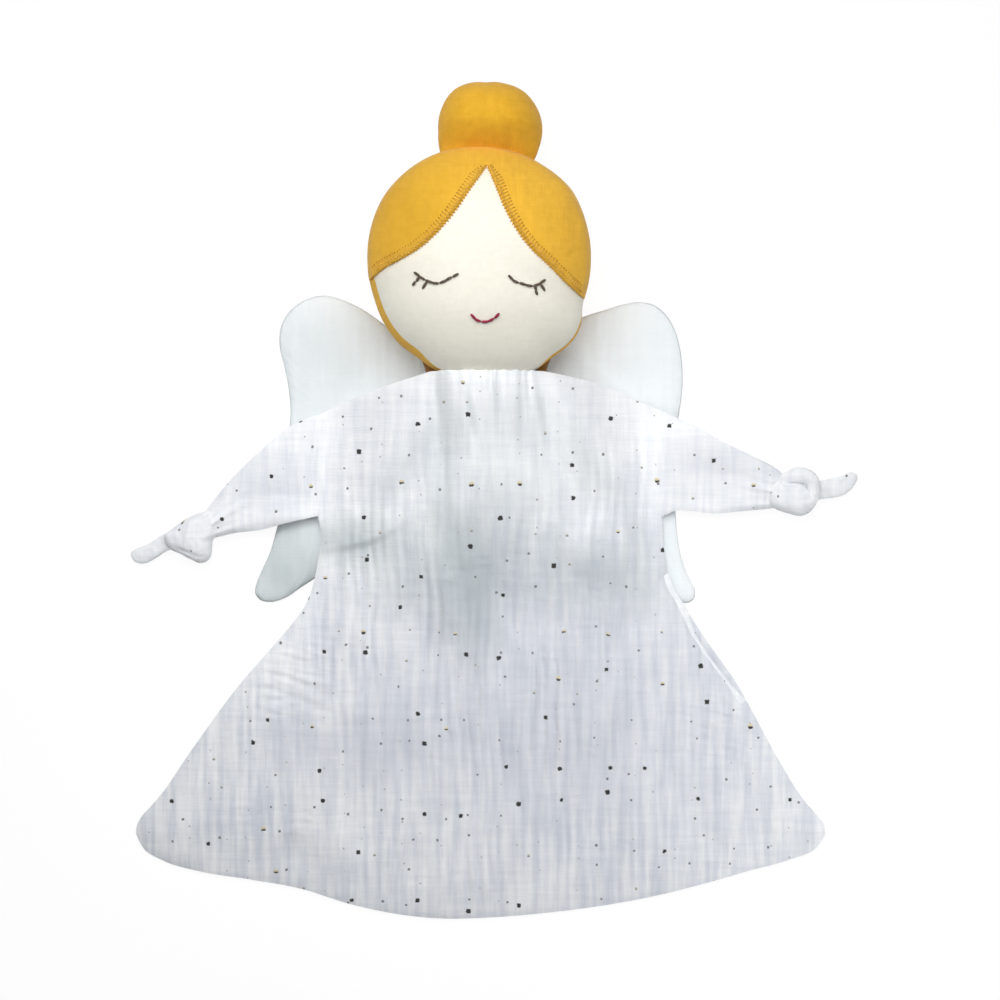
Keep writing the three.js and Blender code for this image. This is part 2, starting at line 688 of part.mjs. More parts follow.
function wingSolid(side) {
  const corners = WING_OUTLINE.map(([x, y]) => new THREE.Vector3(x, y, 0));
  const curve = new THREE.CatmullRomCurve3(corners.slice(1, -1), false, "centripetal");
  const points = [WING_OUTLINE[0]];
  for (let step = 0; step <= WING_STEPS; step += 1) {
    const point = curve.getPoint(step / WING_STEPS);
    points.push([point.x, point.y]);
  }
  points.push(WING_OUTLINE[WING_OUTLINE.length - 1]);
  const seam = lerp(WING_OUTLINE[0][1], WING_OUTLINE[WING_OUTLINE.length - 1][1], 0.5);
  points.push([WING_OUTLINE[0][0], seam]);
  const placed = points.map((point) => wingPoint(side, point));
  const outline = side > 0 ? placed.reverse() : placed;
  const height = (share) => WING_EDGE + (WING_CROWN - WING_EDGE) * (1 - Math.pow(share, 3));
  const top = { outline, rings: 4, height };
  const bottom = { outline, rings: 1, height: () => 0 };
  return solidOf(domedGeometry(wingPoint(side, WING_MIDDLE), top, bottom));
}

// Everything outside the line along which the wing's free tip bends.
function wingOutside(side, offset) {
  const [x, y] = wingPoint(side, WING_FOLD_TOP);
  const along = [WING_FOLD_SIDE[0] - WING_FOLD_TOP[0], WING_FOLD_SIDE[1] - WING_FOLD_TOP[1]];
  const out = new THREE.Vector3(-side * along[1], along[0], 0).normalize();
  return beyond(new THREE.Vector3(x, y, 0).addScaledVector(out, offset), out);
}

function wingTip(side) {
  return geometryOf(wingSolid(side).intersect(wingOutside(side, CLEARANCE / 2)));
}

function wingBase(side) {
  return geometryOf(wingSolid(side).subtract(wingOutside(side, -CLEARANCE / 2)));
}

function wingSeam() {
  const height = WING_SEAM_TOP - WING_SEAM_BOTTOM;
  const strip = new THREE.BoxGeometry(THREAD, height, WING_EDGE - CLEARANCE);
  const middle = WING_Y + (WING_SEAM_TOP + WING_SEAM_BOTTOM) / 2;
  strip.translate(WING_X, middle, CLEARANCE + (WING_EDGE - CLEARANCE) / 2);
  return strip;
}

// Assembly

function piece(name, geometry, material) {
  const mesh = new THREE.Mesh(geometry, material);
  mesh.name = name;
  return mesh;
}

const doll = new THREE.Group();
doll.name = "comforter_doll";
doll.add(
  piece("face_panel", facePanel(), CREAM),
  piece("head_back_panel", headBackPanel(), MUSTARD),
  piece("head_stuffing", headStuffing(), WADDING),
  piece("hair_panel", hairPanel(), MUSTARD),
  piece("hair_stitch", hairStitch(), MUSTARD_THREAD),
  piece("eye_left", eye(EYE_LEFT_LID, EYE_LEFT_LASHES), DARK_THREAD),
  piece("eye_right", eye(EYE_RIGHT_LID, EYE_RIGHT_LASHES), DARK_THREAD),
  piece("mouth", faceThread(MOUTH, CLEARANCE, 9), RED_THREAD),
  piece("bun_cover", bunCover(), MUSTARD),
  piece("bun_stuffing", bunStuffing(), WADDING),
  piece("neck_stem", neckStem(), CREAM),
  piece("neck_thread", neckThread(), WHITE),
  piece("bodice_front", bodiceFront(), SPECKLED),
  piece("bodice_back", bodiceBack(), SPECKLED),
  piece("skirt_front", skirtFront(), SPECKLED),
  piece("skirt_back", skirtBack(), SPECKLED),
  piece("wing_seam", wingSeam(), WHITE),
);
for (const [side, name] of [[-1, "left"], [1, "right"]]) {
  doll.add(
    piece(`sleeve_${name}_front`, sleevePanel(side, true), SPECKLED),
    piece(`sleeve_${name}_back`, sleevePanel(side, false), SPECKLED),
    piece(`knot_${name}`, knot(side), SPECKLED),
    piece(`knot_tail_${name}`, knotTail(side), SPECKLED),
    piece(`wing_${name}_base`, wingBase(side), WHITE),
    piece(`wing_${name}_tip`, wingTip(side), WHITE),
  );
}

// The origin goes under the middle of the box around the doll.
const box = new THREE.Box3().setFromObject(doll);
const middle = box.getCenter(new THREE.Vector3());
doll.position.set(-middle.x, -middle.y, -box.min.z);

export default doll;
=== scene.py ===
"""Baby comforter doll: a stuffed head on a limp double-gauze dress, with knotted sleeves and wings.

Lengths are millimetres in the row frame until a mesh is made. Outlines are named pixels of the
1000 x 1000 photograph, taken from straight above.
"""

import math

import bpy
import numpy as np
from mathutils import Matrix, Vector, kdtree


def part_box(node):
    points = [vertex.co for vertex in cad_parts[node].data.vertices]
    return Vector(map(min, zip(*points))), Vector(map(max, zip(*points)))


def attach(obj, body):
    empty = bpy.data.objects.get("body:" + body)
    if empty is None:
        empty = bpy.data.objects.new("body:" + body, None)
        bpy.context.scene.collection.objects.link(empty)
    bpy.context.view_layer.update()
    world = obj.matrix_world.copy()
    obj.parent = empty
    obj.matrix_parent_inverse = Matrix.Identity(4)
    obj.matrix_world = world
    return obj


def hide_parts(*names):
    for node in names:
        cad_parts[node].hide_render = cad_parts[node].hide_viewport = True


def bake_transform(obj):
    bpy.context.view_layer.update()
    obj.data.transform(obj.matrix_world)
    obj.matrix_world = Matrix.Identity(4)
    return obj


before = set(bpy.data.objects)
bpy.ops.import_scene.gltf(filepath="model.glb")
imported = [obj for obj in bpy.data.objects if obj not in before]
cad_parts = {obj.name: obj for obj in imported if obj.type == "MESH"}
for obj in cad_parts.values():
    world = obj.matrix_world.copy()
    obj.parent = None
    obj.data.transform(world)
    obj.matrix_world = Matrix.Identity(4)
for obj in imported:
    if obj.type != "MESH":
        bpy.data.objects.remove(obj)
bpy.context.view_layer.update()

MM = 0.001
FULL_TURN = 2 * math.pi
TINY = 1e-9

# View

VIEW_HEIGHT = 1000
PIXEL = 0.388
VIEW_X = 1.9
VIEW_Y = 2.1
FRAME_PIXELS = 1000


def photo(points, z=0.0):
    """Pixels of the photograph as x, y on a level at height z."""
    points = np.asarray(points, float)
    scale = PIXEL * (1 - np.asarray(z, float) / VIEW_HEIGHT)
    x = VIEW_X + (points[..., 0] - FRAME_PIXELS / 2) * scale
    y = VIEW_Y + (FRAME_PIXELS / 2 - points[..., 1]) * scale
    return xyz(x, y)


def node_box(*names):
    """Low and high corner of the frame's nodes."""
    corners = np.array([[tuple(corner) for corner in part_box(name)] for name in names]) / MM
    return corners[:, 0].min(axis=0), corners[:, 1].max(axis=0)


def node_middle(*names):
    low, high = node_box(*names)
    return (low + high) / 2


# Sizes from the frame

FACE_LOW, FACE_HIGH = node_box("face_panel")
BACK_LOW, BACK_HIGH = node_box("head_back_panel")
BUN_LOW, BUN_HIGH = node_box("bun_cover")
HEAD_X = (FACE_LOW[0] + FACE_HIGH[0]) / 2
HEAD_R = (FACE_HIGH[0] - FACE_LOW[0]) / 2
HEAD_Y = FACE_HIGH[1] - HEAD_R
HEAD_SEAM = (FACE_LOW[2] + BACK_HIGH[2]) / 2
HEAD_FRONT = FACE_HIGH[2] - HEAD_SEAM
HEAD_BACK = HEAD_SEAM - BACK_LOW[2]
NECK_X, _, NECK_Z = node_middle("neck_stem")
NECK_Y = node_box("bodice_front")[1][1]
WING_X = node_middle("wing_left_base", "wing_left_tip", "wing_right_base", "wing_right_tip")[0]

# Numbers and lines

SCATTER_I = 374761393
SCATTER_J = 668265263
SCATTER_SEED = 1442695041
SCATTER_MIX = 1274126177
WORD = 0xFFFFFFFF
HALF_WORD = 0xFFFF
NOISE_GAIN = 1.5
CURVE_STEPS = 40
TABLE_SMOOTHING = 6


def ramp(value, low, high):
    """A smooth step from 0 at low to 1 at high."""
    t = np.clip((value - low) / (high - low), 0, 1)
    return t * t * (3 - 2 * t)


def grow(distance, reach):
    """0 at no distance, and nearly 1 after a few reaches."""
    return 1 - np.exp(-distance / reach)


def bell(x, y, middle, span):
    """1 in the middle, and nearly 0 beyond two spans across and along."""
    return np.exp(-(((x - middle[0]) / span[0]) ** 2) - ((y - middle[1]) / span[1]) ** 2)


def swell(edge, rows):
    """Heights that are reached away from an edge. Each row is a height and a reach."""
    return sum(height * grow(edge, reach) for height, reach in rows)


def xyz(*values):
    return np.stack(values, axis=-1)


def polar(x, y, radius, turn):
    """Points at a radius and a turn about a middle."""
    return x + radius * np.cos(turn), y + radius * np.sin(turn)


def rings(count, least):
    """Shares from nearly 0 in a middle to 1 on an outline, closer together outwards."""
    return np.maximum(np.sin(np.linspace(0, math.pi / 2, count)), least)[:, None]


def unit(vectors):
    return vectors / np.maximum(np.linalg.norm(vectors, axis=-1, keepdims=True), TINY)


def distances(line):
    """How far along a line each of its points is."""
    return np.concatenate([[0], np.cumsum(np.linalg.norm(np.diff(line, axis=0), axis=1))])


def scatter(i, j, seed):
    """A fixed pseudo-random value from 0 to 1 for each pair of whole numbers."""
    n = (i * SCATTER_I + j * SCATTER_J + seed * SCATTER_SEED) & WORD
    n = ((n ^ (n >> 13)) * SCATTER_MIX) & WORD
    return ((n ^ (n >> 16)) & HALF_WORD) / HALF_WORD


def noise(x, y, seed):
    """Smooth noise from about -1 to 1 with one feature per unit."""
    x, y = np.broadcast_arrays(np.asarray(x, float), np.asarray(y, float))
    i, j = np.floor(x).astype(np.int64), np.floor(y).astype(np.int64)
    fx, fy = x - i, y - j

    def corner(di, dj):
        angle = FULL_TURN * scatter(i + di, j + dj, seed)
        return np.cos(angle) * (fx - di) + np.sin(angle) * (fy - dj)

    sx, sy = fx**3 * (fx * (6 * fx - 15) + 10), fy**3 * (fy * (6 * fy - 15) + 10)
    low = corner(0, 0) * (1 - sx) + corner(1, 0) * sx
    high = corner(0, 1) * (1 - sx) + corner(1, 1) * sx
    return NOISE_GAIN * (low * (1 - sy) + high * sy)


def relief(x, y, rows, seed=0):
    """Noise of several sizes. Each row is a height, a size across, a size along and a seed."""
    return sum(height * noise(x / across, y / length, seed + k) for height, across, length, k in rows)


def along(points, count):
    """A smooth line through the points, as count points evenly spaced along it."""
    p = np.asarray(points, float)
    at = distances(p)
    slope = np.gradient(p, at, axis=0)
    fine = np.linspace(0, at[-1], CURVE_STEPS * len(p))
    k = np.clip(np.searchsorted(at, fine, side="right") - 1, 0, len(p) - 2)
    h = (at[k + 1] - at[k])[:, None]
    s = (fine - at[k])[:, None] / h
    line = (2 * s**3 - 3 * s**2 + 1) * p[k] + (s**3 - 2 * s**2 + s) * h * slope[k]
    line = line + (3 * s**2 - 2 * s**3) * p[k + 1] + (s**3 - s**2) * h * slope[k + 1]
    far = distances(line)
    even = np.linspace(0, far[-1], count)
    return np.stack([np.interp(even, far, values) for values in line.T], axis=1)


def patch(top, bottom, left, right):
    """A grid that fills four border lines, rows from top to bottom."""
    u = np.linspace(0, 1, len(top))[None, :, None]
    v = np.linspace(0, 1, len(left))[:, None, None]
    down = (1 - v) * top[None] + v * bottom[None]
    across = (1 - u) * left[:, None] + u * right[:, None]
    corners = (1 - u) * (1 - v) * top[0] + u * (1 - v) * top[-1]
    corners = corners + (1 - u) * v * bottom[0] + u * v * bottom[-1]
    return down + across - corners


def around(pairs):
    """A smooth value for each whole degree of a turn, through (degrees, value) pairs."""
    degrees, values = np.array(pairs, float).T
    even = np.interp(np.arange(360), degrees, values, period=360)
    window = np.hanning(2 * TABLE_SMOOTHING + 1)
    longer = np.concatenate([even[-TABLE_SMOOTHING:], even, even[:TABLE_SMOOTHING]])
    return np.convolve(longer, window / window.sum(), "valid")


def at_turn(table, turn):
    return np.interp(np.degrees(turn), np.arange(360), table, period=360)


def away(points, line):
    """Distance of flat points from the nearest of a line's points."""
    tree = kdtree.KDTree(len(line))
    for i, p in enumerate(line):
        tree.insert((p[0], p[1], 0), i)
    tree.balance()
    far = [tree.find((p[0], p[1], 0))[2] for p in points.reshape(-1, 2)]
    return np.array(far).reshape(points.shape[:-1])


# Meshes

THREAD_SIDES = 8
THIN_SIDES = 6


def quads(grid, wrap=False, flip=False):
    """Faces of a grid. Rows run down and columns to the right for faces that look up."""
    rows, cols = grid.shape[:2]
    i = np.arange(rows * cols).reshape(rows, cols)
    if wrap:
        i = np.concatenate([i, i[:, :1]], axis=1)
    faces = xyz(i[:-1, :-1], i[1:, :-1], i[1:, 1:], i[:-1, 1:]).reshape(-1, 4)
    return faces[:, ::-1] if flip else faces


def flat_rest(points, shift=(0, 0, 0)):
    """Coordinates at rest as seen from above, moved so that two pieces of one cloth differ."""
    return np.reshape(points, (-1, 3)) * (1, 1, 0) + shift


def piece(name, points, faces, material, slot, replaced=(), rest=None, normals=None):
    """An object with its slot, which is not used, the nodes that it replaces, and its coordinates at rest."""
    points = np.reshape(points, (-1, 3))
    mesh = bpy.data.meshes.new(name)
    mesh.from_pydata((points * MM).tolist(), [], [list(map(int, face)) for face in faces])
    stored = mesh.attributes.new("rest", "FLOAT_VECTOR", "POINT")
    stored.data.foreach_set("vector", np.asarray(points if rest is None else rest, np.float32).ravel())
    mesh.shade_smooth()
    if normals is not None:
        mesh.normals_split_custom_set_from_vertices(np.asarray(normals).tolist())
    mesh.materials.append(material)
    made = bpy.data.objects.new(name, mesh)
    bpy.context.scene.collection.objects.link(made)
    if replaced:
        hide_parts(*replaced)
    return made


def shared_normals(parts):
    """Vertex normals of grids that meet, as if those that lie on one another were one vertex."""
    points = np.concatenate([p for p, _ in parts])
    starts = np.cumsum([0] + [len(p) for p, _ in parts])
    _, same = np.unique(np.round(points, 4), axis=0, return_inverse=True)
    same = same.ravel()
    total = np.zeros((same.max() + 1, 3))
    for (p, faces), start in zip(parts, starts):
        a, b, c, d = (p[faces[:, k]] for k in range(4))
        normal = np.cross(c - a, d - b)
        for k in range(4):
            np.add.at(total, same[start + faces[:, k]], normal)
    total = unit(total)
    return [total[same[s:e]] for s, e in zip(starts[:-1], starts[1:])]


def tube(path, radius, sides=THREAD_SIDES, flat=1.0):
    """Points and faces of a closed tube along a path. radius may be a value for each point."""
    path = np.asarray(path, float)
    radius = np.broadcast_to(np.asarray(radius, float), (len(path),))
    run = unit(np.gradient(path, axis=0))
    side = np.zeros_like(path)
    start = np.cross(run[0], (0, 0, 1))
    side[0] = start if np.linalg.norm(start) > 0.1 else np.cross(run[0], (0, 1, 0))
    for k in range(len(path)):
        before = side[max(k - 1, 0)]
        side[k] = unit(before - run[k] * np.dot(before, run[k]))
    up = np.cross(side, run)
    turn = np.linspace(0, FULL_TURN, sides, endpoint=False)[None, :, None]
    ring = np.cos(turn) * side[:, None] + flat * np.sin(turn) * up[:, None]
    points = (path[:, None] + radius[:, None, None] * ring).reshape(-1, 3)
    last = (len(path) - 1) * sides
    ends = [list(range(sides)), [last + k for k in reversed(range(sides))]]
    return points, [list(face) for face in quads(ring, wrap=True)] + ends


def joined(parts):
    """Several (points, faces) as one."""
    points, faces, start = [], [], 0
    for p, f in parts:
        points.append(p)
        faces += [[start + k for k in face] for face in f]
        start += len(p)
    return np.concatenate(points), faces


# Materials


class Shader:
    """A material's node tree with short ways to add and link nodes."""

    def __init__(self, name):
        self.material = bpy.data.materials.new(name)
        self.material.use_nodes = True
        self.nodes = self.material.node_tree.nodes
        self.links = self.material.node_tree.links
        self.surface = self.nodes["Principled BSDF"]

    def put(self, node, inputs):
        """Values or links for a node's inputs, by name or by number."""
        for key, value in inputs.items():
            if isinstance(value, bpy.types.NodeSocket):
                self.links.new(value, node.inputs[key])
            else:
                node.inputs[key].default_value = value
        return node

    def add(self, kind, inputs, **settings):
        node = self.nodes.new("ShaderNode" + kind)
        for key, value in settings.items():
            setattr(node, key, value)
        return self.put(node, inputs).outputs

    def math(self, operation, *values):
        return self.add("Math", dict(enumerate(values)), operation=operation)[0]

    def vectors(self, operation, *values):
        return self.add("VectorMath", dict(enumerate(values)), operation=operation)

    def mix(self, share, a, b):
        return self.add("Mix", {0: share, 6: a, 7: b}, data_type="RGBA")[2]

    def rest(self):
        """The piece's own coordinates at rest, in millimetres."""
        return self.add("Attribute", {}, attribute_name="rest")["Vector"]

    def grain(self, across, length, detail=2.0, deep=1.0):
        """Noise with so many features in a millimetre across and along."""
        place = self.add("Mapping", {"Vector": self.rest(), "Scale": (across, length, deep)})["Vector"]
        return self.add("TexNoise", {"Vector": place, "Scale": 1.0, "Detail": detail})["Fac"]

    def range(self, value, low, high, to_low=0.0, to_high=1.0):
        return self.add("MapRange", dict(enumerate((value, low, high, to_low, to_high))))[0]

    def bump(self, height, distance):
        bumped = self.add("Bump", {"Height": height, "Distance": distance * MM, "Strength": 1.0})
        self.put(self.surface, {"Normal": bumped["Normal"]})


def colour(red, green, blue):
    """Linear colour of an sRGB one."""
    srgb = np.array([red, green, blue]) / 255
    linear = np.where(srgb <= 0.04045, srgb / 12.92, ((srgb + 0.055) / 1.055) ** 2.4)
    return (*[float(c) for c in linear], 1.0)


# Foil speckles, a real print with a painted highlight: size of a cell, half size, share of the cells, dark
# tone, painted highlight tone, seed.
SPECKLES = [
    (7.5, 0.36, 0.25, colour(178, 180, 183), colour(210, 210, 205), 5),
    (12.5, 0.55, 0.62, colour(130, 132, 135), colour(196, 190, 176), 2),
    (19, 0.98, 0.66, colour(60, 59, 58), colour(222, 212, 180), 1),
]
FOIL_RAGGED = 1.1
FOIL_RAGGED_SCALE = 0.9
FOIL_SEED_STEP = (37.3, 11.9)
FOIL_SQUARENESS = 3.5
FOIL_SPREAD = 0.85
FOIL_SMALLEST = 0.72
FOIL_EDGE = (1.12, 0.8)
FOIL_HIGHLIGHTED_SHARE = 0.24
FOIL_HIGHLIGHT_FROM = -0.35
FOIL_HIGHLIGHT_TO = 0.15


def speckles(shader, base, cell, half, share, dark, highlight_tone, seed):
    """Small foil squares, one at most in each cell: dark ones, and some with a painted highlight on their
    upper part.
    """
    stored = shader.rest()
    ragged = shader.add("TexNoise", {"Vector": stored, "Scale": FOIL_RAGGED_SCALE})["Color"]
    drawn = (FOIL_RAGGED * half, FOIL_RAGGED * half, 0)
    shift = shader.vectors("MULTIPLY_ADD", ragged, drawn, stored)[0]
    seeded = (seed * FOIL_SEED_STEP[0], seed * FOIL_SEED_STEP[1], 0)
    place = shader.add("Mapping", {"Vector": shift, "Location": seeded})["Vector"]
    shape = {"Vector": place, "Scale": 1 / cell, "Exponent": FOIL_SQUARENESS, "Randomness": FOIL_SPREAD}
    cells = shader.add("TexVoronoi", shape, voronoi_dimensions="2D", distance="MINKOWSKI")
    pick = shader.add("SeparateColor", {0: cells["Color"]})
    size = shader.range(pick[2], 0, 1, FOIL_SMALLEST * half / cell, half / cell)
    inside = shader.range(shader.math("DIVIDE", cells["Distance"], size), *FOIL_EDGE)
    kept = shader.math("LESS_THAN", pick[0], share)
    local = shader.vectors("SUBTRACT", place, cells["Position"])[0]
    height = shader.add("SeparateXYZ", {0: local})[1]
    # Painted highlight: on some squares the upper part takes the pale tone, as foil that catches the light.
    highlight_mask = shader.range(height, FOIL_HIGHLIGHT_FROM * half, FOIL_HIGHLIGHT_TO * half)
    painted_highlight = shader.math("MULTIPLY", shader.math("LESS_THAN", pick[1], FOIL_HIGHLIGHTED_SHARE), highlight_mask)
    return shader.mix(shader.math("MULTIPLY", inside, kept), base, shader.mix(painted_highlight, dark, highlight_tone))


# Painted shade, where a cloth is darker: middle, half width and half length, turn in degrees, how much, which
# tone.
PAINTED_SHADE_GREEN_GREY = colour(176, 187, 188)
PAINTED_SHADE_LAVENDER_GREY = colour(178, 182, 195)
PAINTED_SHADE_MUSTARD = colour(198, 150, 34)
DRESS_PAINTED_SHADE = [
    (-20, 14, 6.5, 36, 0, 0.34, PAINTED_SHADE_GREEN_GREY),
    (-9, 36, 1.8, 16, 14, 0.32, PAINTED_SHADE_GREEN_GREY),
    (0, 40, 1.6, 13, 4, 0.3, PAINTED_SHADE_GREEN_GREY),
    (9, 36, 1.8, 18, -2, 0.3, PAINTED_SHADE_GREEN_GREY),
    (17, 38, 1.8, 16, 10, 0.3, PAINTED_SHADE_GREEN_GREY),
    (4, 6, 32, 32, 0, 0.26, PAINTED_SHADE_GREEN_GREY),
    (-35, 14, 7, 32, -31, 0.24, PAINTED_SHADE_GREEN_GREY),
    (36, 16, 7, 30, 40, 0.26, PAINTED_SHADE_GREEN_GREY),
    (-15, -25, 40, 24, 0, 0.54, PAINTED_SHADE_GREEN_GREY),
    (-9, -38, 11, 32, 8, 0.7, PAINTED_SHADE_GREEN_GREY),
    (42, -27, 30, 20, 0, 0.52, PAINTED_SHADE_GREEN_GREY),
    (-52, -14, 22, 11, 0, 0.58, PAINTED_SHADE_GREEN_GREY),
    (20, -80, 94, 76, 0, 0.52, PAINTED_SHADE_LAVENDER_GREY),
    (-60, -92, 52, 14, 0, 0.3, PAINTED_SHADE_LAVENDER_GREY),
    (-76, -136, 20, 10, 0, 0.2, PAINTED_SHADE_LAVENDER_GREY),
    (85, 15, 26, 12, 0, 0.3, PAINTED_SHADE_LAVENDER_GREY),
    (-88, 8, 26, 12, 0, 0.2, PAINTED_SHADE_LAVENDER_GREY),
]
# The wings' coordinates at rest are moved, so that their weave differs from the dress.
WING_SHIFT = (0, 500, 0)
# Painted shadow on the left wing: under the sleeve near its tip, and beside the head.
WING_PAINTED_SHADE = [
    (-82, 474, 20, 24, 0, 0.7, PAINTED_SHADE_GREEN_GREY),
    (-64, 558, 28, 32, 0, 0.24, PAINTED_SHADE_GREEN_GREY),
]
# Painted shade on the hair's left side.
HAIR_PAINTED_SHADE = [(-30, 106, 22, 26, 0, 0.45, PAINTED_SHADE_MUSTARD)]
PATCH_RAGGED = 0.9
PATCH_RAGGED_SCALE = (0.09, 0.05)
PATCH_EDGE = (1.7, 0.6)


def painted_shade_patches(shader, base, shade_patches):
    """Soft darker patches of painted shade, where the cloth lies in shade."""
    ragged = shader.math("MULTIPLY", shader.grain(*PATCH_RAGGED_SCALE), PATCH_RAGGED)
    for x, y, half_width, half_length, turn, share, tone in shade_patches:
        place = {"Vector": shader.rest(), "Location": (x, y, 0), "Scale": (half_width, half_length, 1)}
        place["Rotation"] = (0, 0, math.radians(turn))
        local = shader.add("Mapping", place, vector_type="TEXTURE")[0]
        far = shader.math("ADD", shader.vectors("LENGTH", local)["Value"], ragged)
        base = shader.mix(shader.range(far, *PATCH_EDGE, 0.0, share), base, tone)
    return base


# What makes a cloth's tone uneven: features in a millimetre, the noise's span, and a weight.
BLOTCH_SCALE = (0.03, 0.02)
BLOTCH_SPAN = (0.35, 0.65)
BLOTCH_WEIGHT = 0.24
STREAK_SPAN = (0.38, 0.68)
BAND_SPAN = (0.3, 0.7)
BAND_WEIGHT = 0.18
SLUB_SCALE = (1.25, 0.11)
SLUB_WEIGHT = 0.12
# The streaks grow from the shoulders down to the skirt.
STREAK_FROM_TO = (40, -60)
STREAK_WEIGHTS = (0.2, 0.54)
YARN_DRAWN = 0.12
CLOTH_SURFACE = {"Roughness": 0.92, "Specular IOR Level": 0.2, "Sheen Weight": 0.12, "Sheen Roughness": 0.5}


def cloth(name, tone, shade, mottle, pitch, depth, shade_patches=(), speckled=False):
    """Woven cotton. mottle is the size of its streaks, and pitch and depth are its weave's."""
    shader = Shader(name)
    across, length = mottle
    down = shader.add("SeparateXYZ", {0: shader.rest()})[1]
    streak_weight = shader.range(down, *STREAK_FROM_TO, *STREAK_WEIGHTS)
    parts = [
        (shader.grain(*BLOTCH_SCALE), BLOTCH_SPAN, BLOTCH_WEIGHT),
        (shader.grain(1 / across, 1 / length), STREAK_SPAN, streak_weight),
        (shader.grain(1 / length, 1 / across), BAND_SPAN, BAND_WEIGHT),
        (shader.grain(*SLUB_SCALE, 1.0), BAND_SPAN, SLUB_WEIGHT),
        (shader.grain(*SLUB_SCALE[::-1], 1.0), BAND_SPAN, SLUB_WEIGHT),
    ]
    uneven = 0.0
    for grain, span, weight in parts:
        uneven = shader.math("MULTIPLY_ADD", shader.range(grain, *span), weight, uneven)
    base = shader.mix(uneven, colour(*tone), colour(*shade))
    # Painted shade: soft darker patches where the cloth lies in shade.
    if shade_patches:
        base = painted_shade_patches(shader, base, shade_patches)
    for row in SPECKLES if speckled else ():
        base = speckles(shader, base, *row)
    shader.put(shader.surface, {"Base Color": base, **CLOTH_SURFACE})
    warp = shader.grain(1 / pitch, YARN_DRAWN / pitch, 1.0)
    weft = shader.grain(YARN_DRAWN / pitch, 1 / pitch, 1.0)
    shader.bump(shader.math("ADD", warp, weft), depth)
    return shader.material


THREAD_SURFACE = {"Roughness": 0.6, "Specular IOR Level": 0.3}
TWIST_SCALE = (1.2, 3)
TWIST_SPAN = (0.35, 0.65)
TWIST_DEPTH = 0.15


def thread(name, tone, dark):
    """Twisted embroidery thread."""
    shader = Shader(name)
    twist = shader.range(shader.grain(*TWIST_SCALE, 1.0, TWIST_SCALE[1]), *TWIST_SPAN)
    base = shader.mix(twist, colour(*tone), colour(*dark))
    shader.put(shader.surface, {"Base Color": base, **THREAD_SURFACE})
    shader.bump(twist, TWIST_DEPTH)
    return shader.material


GAUZE_MOTTLE = (2.9, 34)
COTTON_MOTTLE = (3, 2.2)
SPECKLED_GAUZE = cloth("speckled_gauze", (254, 255, 255), (212, 217, 227), GAUZE_MOTTLE, 0.6, 0.10,
                       DRESS_PAINTED_SHADE, True)
WHITE_GAUZE = cloth("white_gauze", (242, 247, 249), (230, 237, 241), GAUZE_MOTTLE, 0.6, 0.09, WING_PAINTED_SHADE)
CREAM_COTTON = cloth("cream_cotton", (245, 242, 229), (232, 228, 214), COTTON_MOTTLE, 0.45, 0.05)
MUSTARD_GAUZE = cloth("mustard_gauze", (239, 187, 64), (217, 163, 42), COTTON_MOTTLE, 0.5, 0.09, HAIR_PAINTED_SHADE)
# Painted shade: the bun's gauze is a darker copy of the mustard gauze, standing in for the shade on the bun.
BUN_SHADED_GAUZE = cloth("bun_gauze_painted_shade", (234, 180, 52), (210, 154, 30), COTTON_MOTTLE, 0.5, 0.09)
# Painted shade: the neck is the mustard gauze darkened to brown, as it looks in the deep shade beside the
# neck.
NECK_SHADED_GAUZE = cloth("neck_gauze_painted_shade", (146, 100, 36), (110, 74, 28), COTTON_MOTTLE, 0.5, 0.09)
MUSTARD_THREAD = thread("mustard_thread", (230, 182, 78), (212, 163, 58))
HOLE_SHADE = thread("needle_hole_shade", (184, 134, 42), (156, 110, 32))
DARK_THREAD = thread("dark_thread", (112, 98, 86), (80, 68, 58))
RED_THREAD = thread("red_thread", (176, 50, 84), (128, 30, 58))

# Dress outline, in pixels

NECK_LEFT = (430, 371.5)
NECK_RIGHT = (546, 371.5)
NECKLINE = [NECK_LEFT, (459, 371), (488, 371), (517, 371), NECK_RIGHT]
SHOULDER_LEFT = [(322, 413.5), (340, 405), (380, 388), (410, 378), NECK_LEFT]
SHOULDER_RIGHT = [NECK_RIGHT, (570, 376.5), (600, 385), (640, 402), (664, 412)]
ARMHOLE_LEFT = [(322, 413.5), (320, 465), (318, 516)]
ARMHOLE_RIGHT = [(664, 412), (665, 465), (662, 517)]
SIDE_LEFT = [
    (318, 516), (321, 535), (318, 560), (313, 585), (306, 604), (292, 624), (275, 644), (240, 684),
    (210, 724), (182, 764), (166, 788), (153, 804), (142, 816), (137, 825), (136, 834),
]
SIDE_RIGHT = [
    (662, 517), (663, 540), (667, 567), (674, 588), (684, 604), (695, 623), (709, 644), (737, 684),
    (759, 724), (781, 764), (807, 804), (818, 816), (824, 825), (825.5, 834),
]
HEM = [
    (136, 834), (144, 849), (164, 861), (200, 871.5), (250, 879.5), (300, 888.5), (350, 904), (400, 914.5),
    (440, 918.5), (490, 917.5), (540, 913.5), (600, 906), (650, 897), (705, 883.5), (750, 870.5),
    (790, 859.5), (816, 848), (825.5, 834),
]
ARM_LEFT_TOP = [
    (322, 413.5), (303, 420), (288, 427.5), (268, 444), (246, 464), (227, 484), (211, 504), (206, 511),
]
ARM_LEFT_LOW = [(318, 516), (290, 522), (260, 530), (235, 533), (214, 538)]
ARM_RIGHT_TOP = [(664, 412), (682, 420), (700, 428), (720, 440), (750, 455), (779, 470.5), (786, 477)]
ARM_RIGHT_LOW = [(662, 517), (676, 510.5), (690, 511), (715, 513.5), (740, 511.5), (776, 508)]
ROLLED_SEAM = [
    (665, 577), (669, 587), (676, 598), (684, 616), (694, 636), (709, 659), (722, 676), (741, 702),
]

